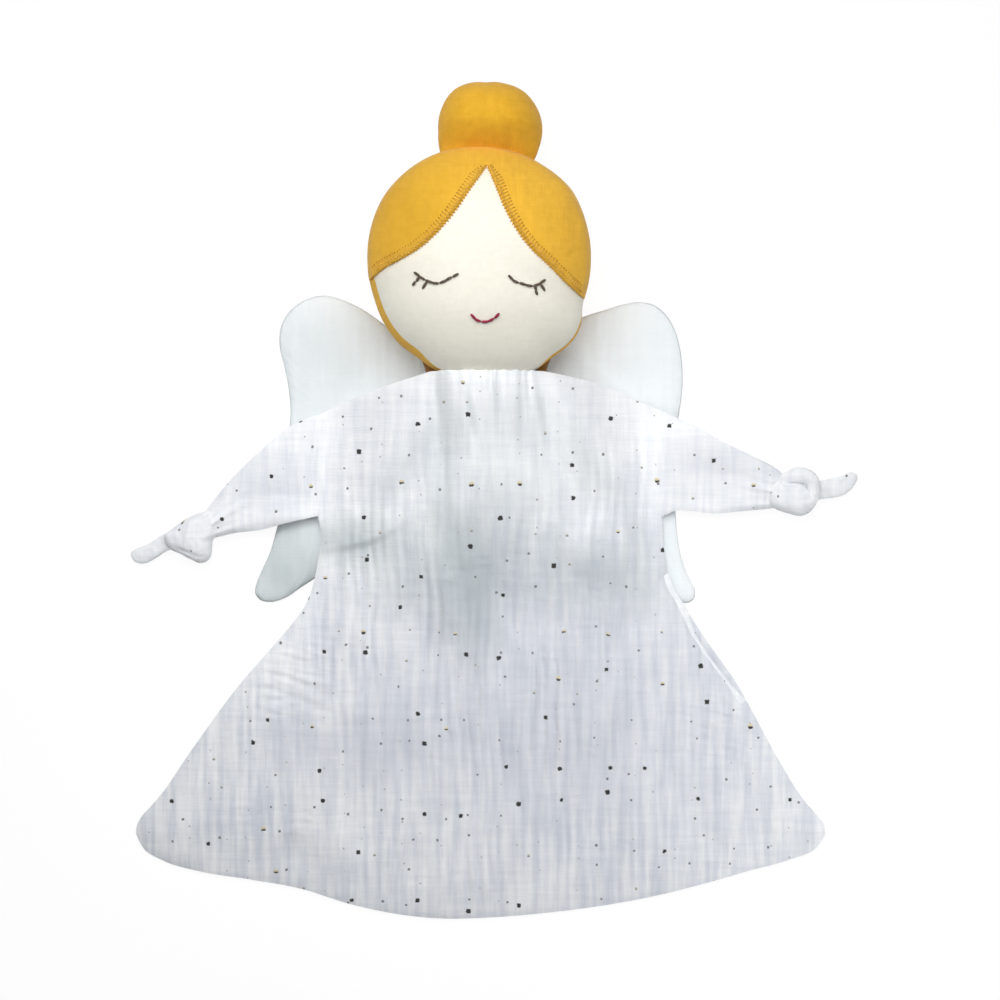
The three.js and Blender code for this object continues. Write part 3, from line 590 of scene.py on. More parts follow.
NECK_COLUMNS = 130
SHOULDER_COLUMNS = 80
ARMHOLE_ROWS = 46
SIDE_ROWS = 170
ARM_COLUMNS = 66
DRESS_LEVEL = 6
RAISING_ROUNDS = 4
WAIST_SPLIT_Y = -18

# Dress heights

LIFT = 4.7
LIFT_SPAN = (96, 72)
LIFT_MIDDLE_Y = 20
LIFT_FADE = (0.9, 2.1)
NECK_HALF = (NECK_RIGHT[0] - NECK_LEFT[0]) / 2 * PIXEL
NECK_RISE = 30
NECK_SLOPE = 38
NECK_FAN = 14
NECK_DIP = 0.36
NECK_DIP_END = 34
CHEST_END = 22
NECK_FADE = 112
NECK_BELL = 1.7
SHOULDER_FALL = 0.8
BELLY_DOWN = 41
BELLY_HEIGHT = 2.6
BELLY_SPAN = (30, 30)
SLEEVE_CURL = 3.2
SLEEVE_CURL_AT = (296, 520)
SLEEVE_CURL_SPAN = (10, 5)
SEAM_HEIGHT = 1
# Muslin crinkle, as rows of relief and as the height of its parts.
GRAIN_BEND = [(1.8, 28, 24, 11)]
RIBS = [(1, 2.4, 30, 12), (0.35, 1.5, 14, 13)]
RIB_WAVE = 0.6
RIB_PITCH = 4.1
RIB_HEIGHT = 0.36
WEFT_SWAY = [(1.2, 9, 14, 14)]
WEFT = [(1, 7, 1.8, 15), (0.8, 26, 3.2, 17)]
WEFT_HEIGHT = 0.2
CRINKLE_LEVEL = 0.85
CRINKLE_UNEVEN = [(0.5, 30, 34, 16)]
CHEST_CALM = 0.65
CHEST_CALM_SPAN = (-28, 16)
# Slow rises and hollows of limp cloth, longer along the grain.
SLACK = [(0.8, 38, 75, 31), (0.6, 15, 55, 32)]


def lift(x, y):
    """How far the wings hold the dress off the surface, with a sleeve that curls up at its lower edge."""
    reach = np.hypot((x - WING_X) / LIFT_SPAN[0], (y - LIFT_MIDDLE_Y) / LIFT_SPAN[1])
    curl = bell(x, y, photo(SLEEVE_CURL_AT, DRESS_LEVEL), SLEEVE_CURL_SPAN)
    return LIFT * (1 - ramp(reach, *LIFT_FADE)) + SLEEVE_CURL * curl


def arch(x, y):
    """The dress over the neck: 1 on the neckline's middle, a dip to the chest, and a fall to the waist."""
    aside = np.abs(x - NECK_X)
    down = np.maximum(NECK_Y - y - SHOULDER_FALL * np.maximum(aside - NECK_HALF, 0), 0)
    rise = NECK_DIP * (1 - ramp(down, 0, NECK_DIP_END))
    rise = rise + (1 - NECK_DIP) * (1 - ramp(down, CHEST_END, NECK_FADE))
    half = NECK_HALF + NECK_SLOPE + NECK_FAN * np.minimum(down / NECK_FADE, 1)
    return rise * (1 - np.clip(aside / half, 0, 1) ** 2) ** NECK_BELL


def sewn_height(x, y):
    """Height of the sewn outline, where both layers meet."""
    return lift(x, y) + SEAM_HEIGHT + NECK_RISE * arch(x, y)


def crinkle(x, y):
    """Muslin crinkle: soft ribs along the grain, broken up by shorter ones across it."""
    bent = x + relief(x, y, GRAIN_BEND)
    ribs = relief(bent, y, RIBS) + RIB_WAVE * np.cos(FULL_TURN * bent / RIB_PITCH)
    weft = relief(x, y + relief(x, y, WEFT_SWAY), WEFT)
    uneven = CRINKLE_LEVEL + relief(x, y, CRINKLE_UNEVEN)
    calm = 1 - CHEST_CALM * ramp(y, *CHEST_CALM_SPAN)
    return calm * uneven * (RIB_HEIGHT * ribs + WEFT_HEIGHT * weft)


FOLD_POINTS = 60
FOLD_LEVEL = 12
FOLD_START = (0, 0.4)
FOLD_END = (0.45, 1)
FROM_NECK = 6


def fold(x, y, pixels, height, left, right, level=FOLD_LEVEL):
    """A ridge, or a valley with a height below 0, along a line of pixels, with a width on each side."""
    line = along(photo(pixels, level), FOLD_POINTS)
    gap = xyz(x, y).reshape(-1, 1, 2) - line[None]
    far = np.linalg.norm(gap, axis=-1)
    near = far.argmin(axis=1)
    rows = np.arange(len(near))
    gap, far = gap[rows, near], far[rows, near]
    run = np.gradient(line, axis=0)[near]
    wide = np.where(run[:, 0] * gap[:, 1] - run[:, 1] * gap[:, 0] > 0, right, left)
    at = near / (FOLD_POINTS - 1)
    start = 1.0 if line[0][1] > NECK_Y - FROM_NECK else ramp(at, *FOLD_START)
    fade = start * (1 - ramp(at, *FOLD_END))
    return (height * fade * np.exp(-((far / wide) ** 2))).reshape(x.shape)


# Line of pixels, height, width on the left and on the right of the line.
CHEST_FOLDS = [
    ([(437, 380), (441, 440), (445, 493), (452, 530)], -1.6, 3, 3),
    ([(457, 376), (466, 420), (476, 460), (488, 520), (494, 545)], 1.3, 5, 5),
    ([(436, 400), (407, 455), (373, 512), (335, 545)], 2, 9, 3),
    ([(396, 388), (372, 440), (352, 490), (338, 530)], 1.2, 6, 6),
    ([(556, 384), (580, 425), (613, 467), (648, 508), (662, 530)], 1.8, 6.5, 8),
    ([(548, 408), (572, 462), (602, 505), (640, 540)], 1.8, 3, 9),
    ([(290, 548), (330, 547), (365, 540), (400, 524), (425, 505)], 2.4, 1.8, 8),
]
SKIRT_FOLDS = [
    ([(415, 505), (434, 565), (455, 620), (474, 670), (486, 722)], 3, 12, 7),
    ([(490, 520), (496, 570), (502, 620), (506, 670), (508, 730)], -1.6, 7, 12),
    ([(536, 532), (585, 548), (628, 570), (674, 598)], 3.4, 11, 12),
    ([(332, 590), (340, 630), (346, 680)], 1, 6, 6),
    ([(600, 640), (618, 710), (640, 790)], 1, 8, 8),
    ([(290, 830), (298, 865), (303, 890)], -1.8, 6, 6),
    ([(256, 706), (280, 701), (306, 695)], -1, 1.5, 1.5),
]
NECK_PLEATS = [
    ([(440, 373), (436, 388), (432, 404)], -0.7, 1.6, 1.6),
    ([(490, 371), (490, 386), (492, 402)], -0.7, 1.4, 1.4),
    ([(502, 371), (503, 390), (505, 412)], -0.7, 1.5, 1.5),
    ([(527, 371), (528, 392), (530, 420)], -0.9, 1.7, 1.7),
]
SLEEVE_FOLDS = [
    ([(676, 460), (720, 474), (772, 492)], -1.7, 5, 5),
    ([(225, 520), (262, 500), (310, 488)], -1.2, 4.5, 4.5),
]
FRONT_FOLDS = CHEST_FOLDS + SKIRT_FOLDS + NECK_PLEATS + SLEEVE_FOLDS
# Short wrinkles across the grain, where the skirt's sides are drawn up.
WRINKLES_LEVEL = 5
WRINKLES_AT = photo([(288, 676), (724, 728)], WRINKLES_LEVEL)
WRINKLES_SPAN = (17, 15)
WRINKLES_SLANT = 0.25
WRINKLES = [(0.75, 13, 2.1, 95)]
DRESS_SWELL = [(0.6, 1.2), (3.6, 40)]
SOFT_REACH = 5
ROLL_DEPTH = 1.5
ROLL_WIDTH = 1.5
BACK_GAP = 0.2
BACK_REACH = 4
ROLL_LEVEL = 4
ROLL_POINTS = 160
rolled_seam = along(photo(ROLLED_SEAM, ROLL_LEVEL), ROLL_POINTS)


def front_height(x, y, edge):
    """Top layer's height. edge is the distance from the sewn outline."""
    loose = BELLY_HEIGHT * bell(x, y, (NECK_X, NECK_Y - BELLY_DOWN), BELLY_SPAN)
    loose = loose + crinkle(x, y) + relief(x, y, SLACK)
    for k, middle in enumerate(WRINKLES_AT):
        wrinkled = relief(x, y + WRINKLES_SLANT * x, WRINKLES, k)
        loose = loose + bell(x, y, middle, WRINKLES_SPAN) * wrinkled
    for row in FRONT_FOLDS:
        loose = loose + fold(x, y, *row)
    beside = away(xyz(x, y), rolled_seam)
    z = sewn_height(x, y) + swell(edge, DRESS_SWELL) + grow(edge, SOFT_REACH) * loose
    return z - ROLL_DEPTH * np.exp(-((beside / ROLL_WIDTH) ** 2))


def back_height(x, y, edge):
    """Under layer's height, which meets the top layer on the sewn outline."""
    low = lift(x, y) + BACK_GAP
    return low + (sewn_height(x, y) - low) * np.exp(-edge / BACK_REACH)


def raised(pixels, count):
    """A line of pixels on the dress, found with the neck's arch taken into account."""
    line = along(pixels, count)
    flat = photo(line, DRESS_LEVEL)
    for _ in range(RAISING_ROUNDS):
        flat = photo(line, sewn_height(flat[:, 0], flat[:, 1]))
    return flat


# Dress grids

armhole = slice(0, ARMHOLE_ROWS + 1)
shoulder_left = raised(SHOULDER_LEFT, SHOULDER_COLUMNS + 1)
shoulder_right = raised(SHOULDER_RIGHT, SHOULDER_COLUMNS + 1)
body_top = np.concatenate([shoulder_left, raised(NECKLINE, NECK_COLUMNS + 1)[1:], shoulder_right[1:]])
body_left, body_right = (
    np.concatenate([raised(upper, ARMHOLE_ROWS + 1), raised(lower, SIDE_ROWS + 1)[1:]])
    for upper, lower in ((ARMHOLE_LEFT, SIDE_LEFT), (ARMHOLE_RIGHT, SIDE_RIGHT))
)
body_hem = raised(HEM, len(body_top))
body = patch(body_top, body_hem, body_left, body_right)
sewn_lines = [shoulder_left, shoulder_right, body_left[ARMHOLE_ROWS:], body_right[ARMHOLE_ROWS:], body_hem]

roots = {"left": body[armhole, 0], "right": body[armhole, -1]}
arms, wrists = {}, {}
for side, *edges in (("left", ARM_LEFT_TOP, ARM_LEFT_LOW), ("right", ARM_RIGHT_TOP, ARM_RIGHT_LOW)):
    top, low = (raised(edge, ARM_COLUMNS + 1) for edge in edges)
    sewn_lines += [top, low]
    wrists[side] = along([top[-1], low[-1]], ARMHOLE_ROWS + 1)
    if side == "left":
        arms[side] = patch(top[::-1], low[::-1], wrists[side], roots[side])
    else:
        arms[side] = patch(top, low, roots[side], wrists[side])
sewn = np.concatenate([np.concatenate([line, (line[:-1] + line[1:]) / 2]) for line in sewn_lines])

CUFF_SPAN = (3, 26)
CUFF_HEIGHT = 0.4
# Height, folds from edge to edge, and shift.
CUFF_GATHERS = [(1, 3.2, 0.15 * FULL_TURN), (0.5, 5.3, 1)]
WRIST_SPAN = (2, 24)
WRIST_SWELL = 2.2
WRIST_DROP = 0.5
WRIST_REACH = 2.5
ON_EDGE = 1e-6


def layers(grid, wrist=None):
    """Top and under layer of a grid of flat points, with gathers where a sleeve runs into its knot."""
    x, y = grid[..., 0], grid[..., 1]
    edge = away(grid, sewn)
    top = front_height(x, y, edge)
    low = back_height(x, y, edge)
    if wrist is not None:
        far = np.linalg.norm(grid - wrist.mean(axis=0), axis=-1)
        near = 1 - ramp(far, *WRIST_SPAN)
        rows = np.linspace(0, 1, grid.shape[0])[:, None]
        waves = [height * np.cos(FULL_TURN * count * rows + shift) for height, count, shift in CUFF_GATHERS]
        gathers = CUFF_HEIGHT * (1 - ramp(far, *CUFF_SPAN)) * sum(waves)
        top = top + grow(edge, WRIST_REACH) * (WRIST_SWELL * near + gathers)
        low = np.maximum(low - WRIST_DROP * near, BACK_GAP)
    top = np.where(edge < ON_EDGE, low, top)
    return [xyz(x, y, z) for z in (top, low)]


body_front, body_back = layers(body)
sleeves = {side: layers(arms[side], wrists[side]) for side in arms}
# The armhole's points belong to the body and to a sleeve.
for k, whole in enumerate((body_front, body_back)):
    sleeves["left"][k][:, -1] = whole[armhole, 0]
    sleeves["right"][k][:, 0] = whole[armhole, -1]

# The neckline's turned edge, with small scallops where the gathering thread pulls.
SCALLOPS = 11
SCALLOP_HEIGHT = 0.3
SCALLOP_WANDER = 0.9
SCALLOP_WANDERS = 5
SCALLOP_ROUGH = 0.35
SCALLOP_BUMPS = 7
SCALLOP_ROWS = 18
SCALLOP_OUT = 0.45
SCALLOP_UP = 0.9
SCALLOP_ENDS = 9
NECK_EDGE = [(0.35, -0.5), (0.3, -1.4), (-0.3, -2.8), (-1.6, -4.6), (-3.4, -6.5)]
columns = np.arange(SHOULDER_COLUMNS, SHOULDER_COLUMNS + NECK_COLUMNS + 1)
gathered = np.linspace(0, 1, NECK_COLUMNS + 1)
hold = np.minimum(1, SCALLOP_ENDS * np.minimum(gathered, 1 - gathered))
wander = SCALLOP_WANDER * noise(gathered * SCALLOP_WANDERS, 0, 71)
scallop = SCALLOP_HEIGHT * np.cos(FULL_TURN * (SCALLOPS * gathered + wander))
scallop = hold * (scallop + SCALLOP_ROUGH * noise(gathered * SCALLOP_BUMPS, 3, 72))
for row in range(SCALLOP_ROWS):
    fade = (1 - row / SCALLOP_ROWS) ** 2
    body_front[row, columns, 1] += SCALLOP_OUT * fade * scallop
    body_front[row, columns, 2] += SCALLOP_UP * fade * scallop
lip = [body_front[0, columns]]
for forward, fall in NECK_EDGE:
    lip.append(lip[0] + xyz(0 * hold, hold * forward, hold * fall))

# Dress pieces. Each grid is of the top layer or of the under layer.
split = int(np.abs(body[:, 0, 1] - WAIST_SPLIT_Y).argmin())
dress_grids = {
    "bodice_front": (body_front[: split + 1], False),
    "bodice_back": (body_back[: split + 1], True),
    "skirt_front": (body_front[split:], False),
    "skirt_back": (body_back[split:], True),
    "sleeve_left_front": (sleeves["left"][0], False),
    "sleeve_left_back": (sleeves["left"][1], True),
    "sleeve_right_front": (sleeves["right"][0], False),
    "sleeve_right_back": (sleeves["right"][1], True),
    "neck_hem": (np.stack(lip[::-1]), False),
}
dress_parts = {}
for name, (grid, under) in dress_grids.items():
    dress_parts[name] = (grid.reshape(-1, 3), quads(grid, flip=under))
# Each layer has its own normals, so that the sewn edge stays crisp.
dress_normals = {}
for layer in (False, True):
    names = [name for name, (_, under) in dress_grids.items() if under is layer]
    dress_normals.update(zip(names, shared_normals([dress_parts[name] for name in names])))
UNDER_SHIFT = (400, 150, 0)
dress = {}
for name, (points, faces) in dress_parts.items():
    replaced = () if name == "neck_hem" else (name,)
    rest = flat_rest(points, UNDER_SHIFT if dress_grids[name][1] else (0, 0, 0))
    dress[name] = piece("dress_" + name, points, faces, SPECKLED_GAUZE, "speckled_gauze", replaced, rest,
                        dress_normals[name])

# Each dress piece's transform is baked into its mesh.
for name in ("bodice_front", "bodice_back", "neck_hem"):
    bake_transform(dress[name])
for name in ("skirt_front", "skirt_back"):
    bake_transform(dress[name])
for side, outward in (("left", -1), ("right", 1)):
    for layer in ("front", "back"):
        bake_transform(dress[f"sleeve_{side}_{layer}"])

# Head

# Outline around its middle: degrees from the viewer's right, and pixels.
HEAD_OUTLINE = [
    (0, 111.5), (20, 113.5), (38, 117), (56, 115), (90, 115), (120, 115.5), (145, 115), (165, 112.5),
    (180, 111), (200, 111), (211, 113), (225, 114.5), (237, 113.6), (247, 116.7), (258, 118), (270, 117),
    (285, 120), (297, 122.7), (307, 120), (315, 122.3), (321, 122.9), (327, 121), (331, 118), (335, 113.3),
    (340, 111.4),
]
HEAD_TABLE = around(HEAD_OUTLINE) * PIXEL * (1 - HEAD_SEAM / VIEW_HEIGHT)
HEAD_TURNS = 300
HEAD_RINGS = 56
HEAD_NEAREST = 0.0004
DOME_POWER = 0.6
PANEL_SLACK = 0.6
HEAD_RELIEF = [(0.35, 16, 16, 91)]
PUCKER_HEIGHT = 0.5
PUCKER_REACH = 0.10
PUCKER_FINE = 0.6
PUCKERS_IN_RADIAN = (9.5, 21)
SEAM_DRAW = 0.5
STRIP_RINGS = 7
# How far the back panel comes round to the front, as a share, and between which degrees.
LEFT_STRIP = 0.055
LEFT_STRIP_FROM = (183, 192)
LEFT_STRIP_THIN = (234, 250)
LEFT_STRIP_LOSS = 0.6
LEFT_STRIP_TO = (255, 275)
RIGHT_STRIP = 0.014
RIGHT_STRIP_FROM = (296, 308)
RIGHT_STRIP_TO = (326, 336)
HAIR_STRIP = 0.03
HAIR_STRIP_TO = (180, 188)
HAIR_STRIP_FROM = (339, 345)


def seam_share(turn):
    """Where the face panel ends, as a share: the back shows at the lower left, and under the hair."""
    degrees = np.degrees(np.mod(turn, FULL_TURN))
    left = LEFT_STRIP * ramp(degrees, *LEFT_STRIP_FROM) * (1 - ramp(degrees, *LEFT_STRIP_TO))
    left = left * (1 - LEFT_STRIP_LOSS * ramp(degrees, *LEFT_STRIP_THIN))
    right = RIGHT_STRIP * ramp(degrees, *RIGHT_STRIP_FROM) * (1 - ramp(degrees, *RIGHT_STRIP_TO))
    hair = HAIR_STRIP * (1 - ramp(degrees, *HAIR_STRIP_TO) * (1 - ramp(degrees, *HAIR_STRIP_FROM)))
    return 1 - left - right - hair


def puckers(turn, share):
    """Small gathers along the head's seam."""
    broad, fine = PUCKERS_IN_RADIAN
    wave = noise(turn * broad, 0 * turn, 81) + PUCKER_FINE * noise(turn * fine, 1 + 0 * turn, 82)
    return wave * np.exp(-((1 - share) / PUCKER_REACH))


def head_point(turn, share, front=True, out=0.0):
    """A point of the stuffed head. share is 0 in the middle and 1 on the outline."""
    radius = at_turn(HEAD_TABLE, turn)
    x, y = polar(HEAD_X, HEAD_Y, radius * share, turn)
    deep = (HEAD_FRONT if front else HEAD_BACK) - PANEL_SLACK
    rise = deep * np.clip(1 - share**2, 0, 1) ** DOME_POWER
    rise = rise + PUCKER_HEIGHT * puckers(turn, share) * (1 - share**6)
    rise = rise + relief(x, y, HEAD_RELIEF) * (1 - share**4)
    point = xyz(x, y, HEAD_SEAM + (rise if front else -rise))
    if np.any(out):
        level = np.clip(1 - share**2, 0.02, 1)
        slope = 2 * DOME_POWER * HEAD_FRONT * share * level ** (DOME_POWER - 1) / radius
        normal = xyz(slope * np.cos(turn), slope * np.sin(turn), np.ones_like(slope))
        point = point + np.asarray(out)[..., None] * unit(normal)
    return point


turn = np.linspace(0, FULL_TURN, HEAD_TURNS, endpoint=False)[None, :]
ring = rings(HEAD_RINGS, HEAD_NEAREST)[::-1]
edge_share = seam_share(turn)
face_grid = head_point(turn + 0 * ring, ring * edge_share)
# The seam draws the face panel in.
face_grid[:1, :, 2] -= SEAM_DRAW
strip = np.linspace(0, 1, STRIP_RINGS)[:, None] * (1 - edge_share) + edge_share
strip_grid = head_point(turn + 0 * strip, strip)
back_grid = head_point(turn + 0 * ring, ring + 0 * turn, front=False)
back_grid = np.concatenate([strip_grid[:-1], back_grid])
HEAD_BACK_SHIFT = (300, 0, 0)
face = piece("face", face_grid, quads(face_grid, wrap=True, flip=True), CREAM_COTTON,
             "cream_cotton", ("face_panel", "head_stuffing"), flat_rest(face_grid))
head_back = piece("head_back", back_grid, quads(back_grid, wrap=True), MUSTARD_GAUZE,
                  "mustard_gauze", ("head_back_panel",), flat_rest(back_grid, HEAD_BACK_SHIFT))

# Hair

HAIR_LEFT = [(487, 166), (470, 190), (455, 212), (440, 230), (420, 248), (400, 260), (385, 268), (371, 280)]
HAIR_RIGHT = [
    (487, 166), (495, 185), (503, 205), (515, 228), (530, 248), (548, 265), (565, 282), (584, 299),
]
HAIR_POINTS = 130
HAIR_ROWS = 46
HAIR_CROWDING = 1.35
HAIR_NEAREST = 0.985
HAIR_END = 0.997
HAIR_THICK = 0.95
HAIR_THIN = 0.25
HAIR_TUCKED = -0.3
HAIR_BRIM = 0.8
HAIR_FLAT_FROM = 0.93
HAIR_CALM_FROM = 0.95
HAIR_BEND = [(2.08, 9, 9, 5)]
HAIR_WRINKLES = [(0.28, 5.2, 11, 41)]
HAIR_FINE = [(0.16, 2.1, 4.5, 42)]
FIRST_RISE = 0.8
HEAD_ROUNDS = 12


def head_place(flat, most=1.0):
    """Turn and share of flat points on the head."""
    gap = flat - (HEAD_X, HEAD_Y)
    about = np.arctan2(gap[:, 1], gap[:, 0])
    return about, np.clip(np.hypot(gap[:, 0], gap[:, 1]) / at_turn(HEAD_TABLE, about), 0, most)


def on_head(pixels):
    """Turn and share of pixels on the head's front, found with its height taken into account."""
    z = np.full(len(pixels), HEAD_SEAM + FIRST_RISE * HEAD_FRONT)
    for _ in range(HEAD_ROUNDS):
        about, share = head_place(photo(pixels, z))
        z = (z + HEAD_SEAM + HEAD_FRONT * (1 - share**2) ** DOME_POWER) / 2
    return about, share


hair_line = np.concatenate([along(HAIR_LEFT, HAIR_POINTS)[::-1], along(HAIR_RIGHT, HAIR_POINTS)[1:]])
hair_turn, hair_share = on_head(hair_line)
hair_turn = np.where(hair_turn < -math.pi / 2, hair_turn + FULL_TURN, hair_turn)
hair_turn = np.minimum.accumulate(hair_turn)
hair_share = np.clip(hair_share, 0, HAIR_NEAREST)
reach = 1 - (1 - np.linspace(0, 1, HAIR_ROWS)[:, None]) ** HAIR_CROWDING
hair_shares = hair_share + (HAIR_END - hair_share) * reach
hair_turns = hair_turn + 0 * reach
hair_x, hair_y = polar(HEAD_X, HEAD_Y, HEAD_R * hair_shares, hair_turns)
wrinkle = relief(hair_x + relief(hair_x, hair_y, HAIR_BEND), hair_y, HAIR_WRINKLES)
wrinkle = wrinkle + relief(hair_x, hair_y, HAIR_FINE)
thick = HAIR_THICK * (1 - ramp(hair_shares, HAIR_FLAT_FROM, 1.0)) + HAIR_THIN
thick = thick + wrinkle * (1 - ramp(hair_shares, HAIR_CALM_FROM, 1.0))
thick[0] = HAIR_TUCKED
thick[1] = HAIR_BRIM
hair_grid = head_point(hair_turns, hair_shares, out=thick)
hair = piece("hair", hair_grid, quads(hair_grid, flip=True), MUSTARD_GAUZE, "mustard_gauze",
             ("hair_panel",), flat_rest(hair_grid))

# Overcast stitches along the hair's edge, with a needle hole's painted shade at the end of each

STITCH_PITCH = 1.35
STITCH_ENDS = 1.6
STITCH_REACH = 2.8
STITCH_FARTHEST = 0.98
STITCH_SINK = 0.8
STITCH_SINK_FROM = 0.9
STITCH_SHORTEST = 0.4
STITCH_PARTING = (1, 9)
STITCH_UNEVEN = 0.25
STITCH_UNEVEN_SIZE = 1.1
STITCH_POINTS = 8
STITCH_R = 0.18
STITCH_RISE = (0, 0, 0.1)
STITCH_RETURN = (0.2, 0, 0.1)
STITCH_OUTER = (0.2, 0.15)
STITCH_BRIM = (0.3, 1.25)
STITCH_INNER_OUT = 1.3
CHIN_DOWN = 40
HOLE_BEYOND = 0.2
HOLE_LEVELS = np.outer((-0.4, 0, 0.1), (0, 0, 1))
HOLE_RADII = (0.27, 0.24, 0.1)
hair_far = distances(head_point(hair_turn, hair_share))
at = np.linspace(STITCH_ENDS, hair_far[-1] - STITCH_ENDS, int(hair_far[-1] / STITCH_PITCH))
edge_line = head_point(np.interp(at, hair_far, hair_turn), np.interp(at, hair_far, hair_share))[:, :2]
run = np.gradient(edge_line, axis=0)
inward = unit(xyz(-run[:, 1], run[:, 0]))
chin = (HEAD_X, HEAD_Y - CHIN_DOWN)
inward *= np.sign(np.sum(inward * (edge_line - chin), axis=1, keepdims=True))


def head_flat(flat, out):
    """Points of the head's front above flat points."""
    about, share = head_place(flat, STITCH_FARTHEST)
    sink = STITCH_SINK * ramp(share, STITCH_SINK_FROM, STITCH_FARTHEST)
    return head_point(about, share, out=out * (1 - sink))


uneven = STITCH_UNEVEN * noise(at / STITCH_UNEVEN_SIZE, 0 * at, 44)[:, None]
from_parting = np.abs(at - hair_far[len(hair_far) // 2])
longer = STITCH_SHORTEST + (1 - STITCH_SHORTEST) * ramp(from_parting, *STITCH_PARTING)
reach = STITCH_REACH * longer[:, None]
outer = head_flat(edge_line - (STITCH_OUTER[0] + uneven) * inward, STITCH_OUTER[1])
brim = head_flat(edge_line + STITCH_BRIM[0] * inward, STITCH_BRIM[1])
inner = head_flat(edge_line + (reach + uneven) * inward, STITCH_INNER_OUT)
stitches = []
holes = []
for k in np.flatnonzero(from_parting[:-1] > STITCH_PITCH):
    half_way = (brim[k] + inner[k]) / 2
    forth = along([outer[k], brim[k], half_way + STITCH_RISE, inner[k]], STITCH_POINTS)
    back = along([inner[k], half_way + STITCH_RETURN, brim[k + 1], outer[k + 1]], STITCH_POINTS)
    stitches += [tube(line, STITCH_R, THIN_SIDES) for line in (forth, back)]
    # Painted shade: a short plug in a darker thread tone stands in for the shade inside each needle hole.
    hole = inner[k] + np.append(HOLE_BEYOND * inward[k], 0.0)
    holes.append(tube(hole + HOLE_LEVELS, HOLE_RADII))
hair_stitch = piece("hair_stitching", *joined(stitches), MUSTARD_THREAD, "mustard_thread", ("hair_stitch",))
hair_holes = piece("hair_needle_holes", *joined(holes), HOLE_SHADE, "mustard_thread")

# Face embroidery

EYE_LEFT = [(414, 272), (421, 277), (428, 281), (438, 283), (447, 279.5), (459, 273)]
EYE_LEFT_LASHES = [[(419, 277), (413, 285.5)], [(427, 281), (422, 289)]]
EYE_RIGHT = [(508, 275), (513, 280), (522, 283.5), (534, 285.5), (540, 283), (545.5, 279.5)]
EYE_RIGHT_LASHES = [[(534, 285), (537.5, 295)], [(540, 283.5), (544.5, 291)]]
MOUTH = [(470.5, 314), (476.5, 319.5), (484, 321.5), (492, 319.5), (499, 313)]
THREAD_LENGTH = 2.6
THREAD_POINTS = 12
THREAD_RISE = 0.32
THREAD_ASIDE = 0.12
THREAD_R = (0.25, 0.27)
LINE_POINTS = 60
LINE_OUT = 0.25


def embroidery(pixels):
    """Back stitches along a line of pixels on the face."""
    line = head_point(*on_head(along(pixels, LINE_POINTS)), out=np.full(LINE_POINTS, LINE_OUT))
    last = LINE_POINTS - 1
    count = max(1, round(distances(line)[-1] / THREAD_LENGTH))
    rise = np.sin(np.linspace(0, math.pi, THREAD_POINTS))
    radius = THREAD_R[0] + THREAD_R[1] * np.sqrt(np.clip(rise, 0, 1))
    made = []
    for k in range(count):
        start, end = int(last * k / count), min(last, int(last * (k + 1) / count) + 1)
        part = along(line[start : end + 1 : max(1, (end - start) // 4)], THREAD_POINTS)
        part[:, 2] += THREAD_RISE * rise
        part[:, 0] += THREAD_ASIDE * (-1) ** k
        made.append(tube(part, radius))
    return made


def embroidered(node, lines, material, slot):
    points, faces = joined([part for line in lines for part in embroidery(line)])
    return piece(node + "_stitches", points, faces, material, slot, (node,))


eye_left = embroidered("eye_left", [EYE_LEFT, *EYE_LEFT_LASHES], DARK_THREAD, "dark_thread")
eye_right = embroidered("eye_right", [EYE_RIGHT, *EYE_RIGHT_LASHES], DARK_THREAD, "dark_thread")
mouth = embroidered("mouth", [MOUTH], RED_THREAD, "red_thread")
for part in (face, head_back, hair, hair_stitch, hair_holes, eye_left, eye_right, mouth):
    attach(part, "head")

# Neck, inside the neckline

NECK_DEEP = 13
NECK_DROP = 5
NECK_STATIONS = [(37, 20), (46, 22), (52, 23.2), (60, 26.5), (64, 27.5)]
NECK_POINTS = 40
NECK_SIDES = 72
NECK_ROUND = (0.1, 2.6)
neck_line = along([(NECK_X, y, NECK_Z - NECK_DROP, half) for y, half in NECK_STATIONS], NECK_POINTS)
neck_radius = neck_line[:, 3] * np.sqrt(np.clip(np.linspace(*NECK_ROUND, NECK_POINTS), 0, 1))
points, faces = tube(neck_line[:, :3], neck_radius, NECK_SIDES, NECK_DEEP / NECK_STATIONS[-1][1])
neck = piece("neck", points, faces, NECK_SHADED_GAUZE, "mustard_gauze", ("neck_stem",), flat_rest(points))
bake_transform(neck)

LOOP_INSET = 3.5
LOOP_R = 0.5
LOOP_POINTS = 90
loop = np.linspace(0, FULL_TURN, LOOP_POINTS)
loop_low, loop_high = node_box("neck_thread")
loop_wide = (loop_high[0] - loop_low[0]) / 2 - LOOP_INSET
loop_path = xyz(loop_wide * np.cos(loop), 0 * loop, loop_wide * np.sin(loop))
points, faces = tube(node_middle("neck_thread") + loop_path, LOOP_R)
neck_thread = piece("neck_thread_loop", points, faces, WHITE_GAUZE, "white_gauze", ("neck_thread",))
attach(neck_thread, "torso")

# Bun

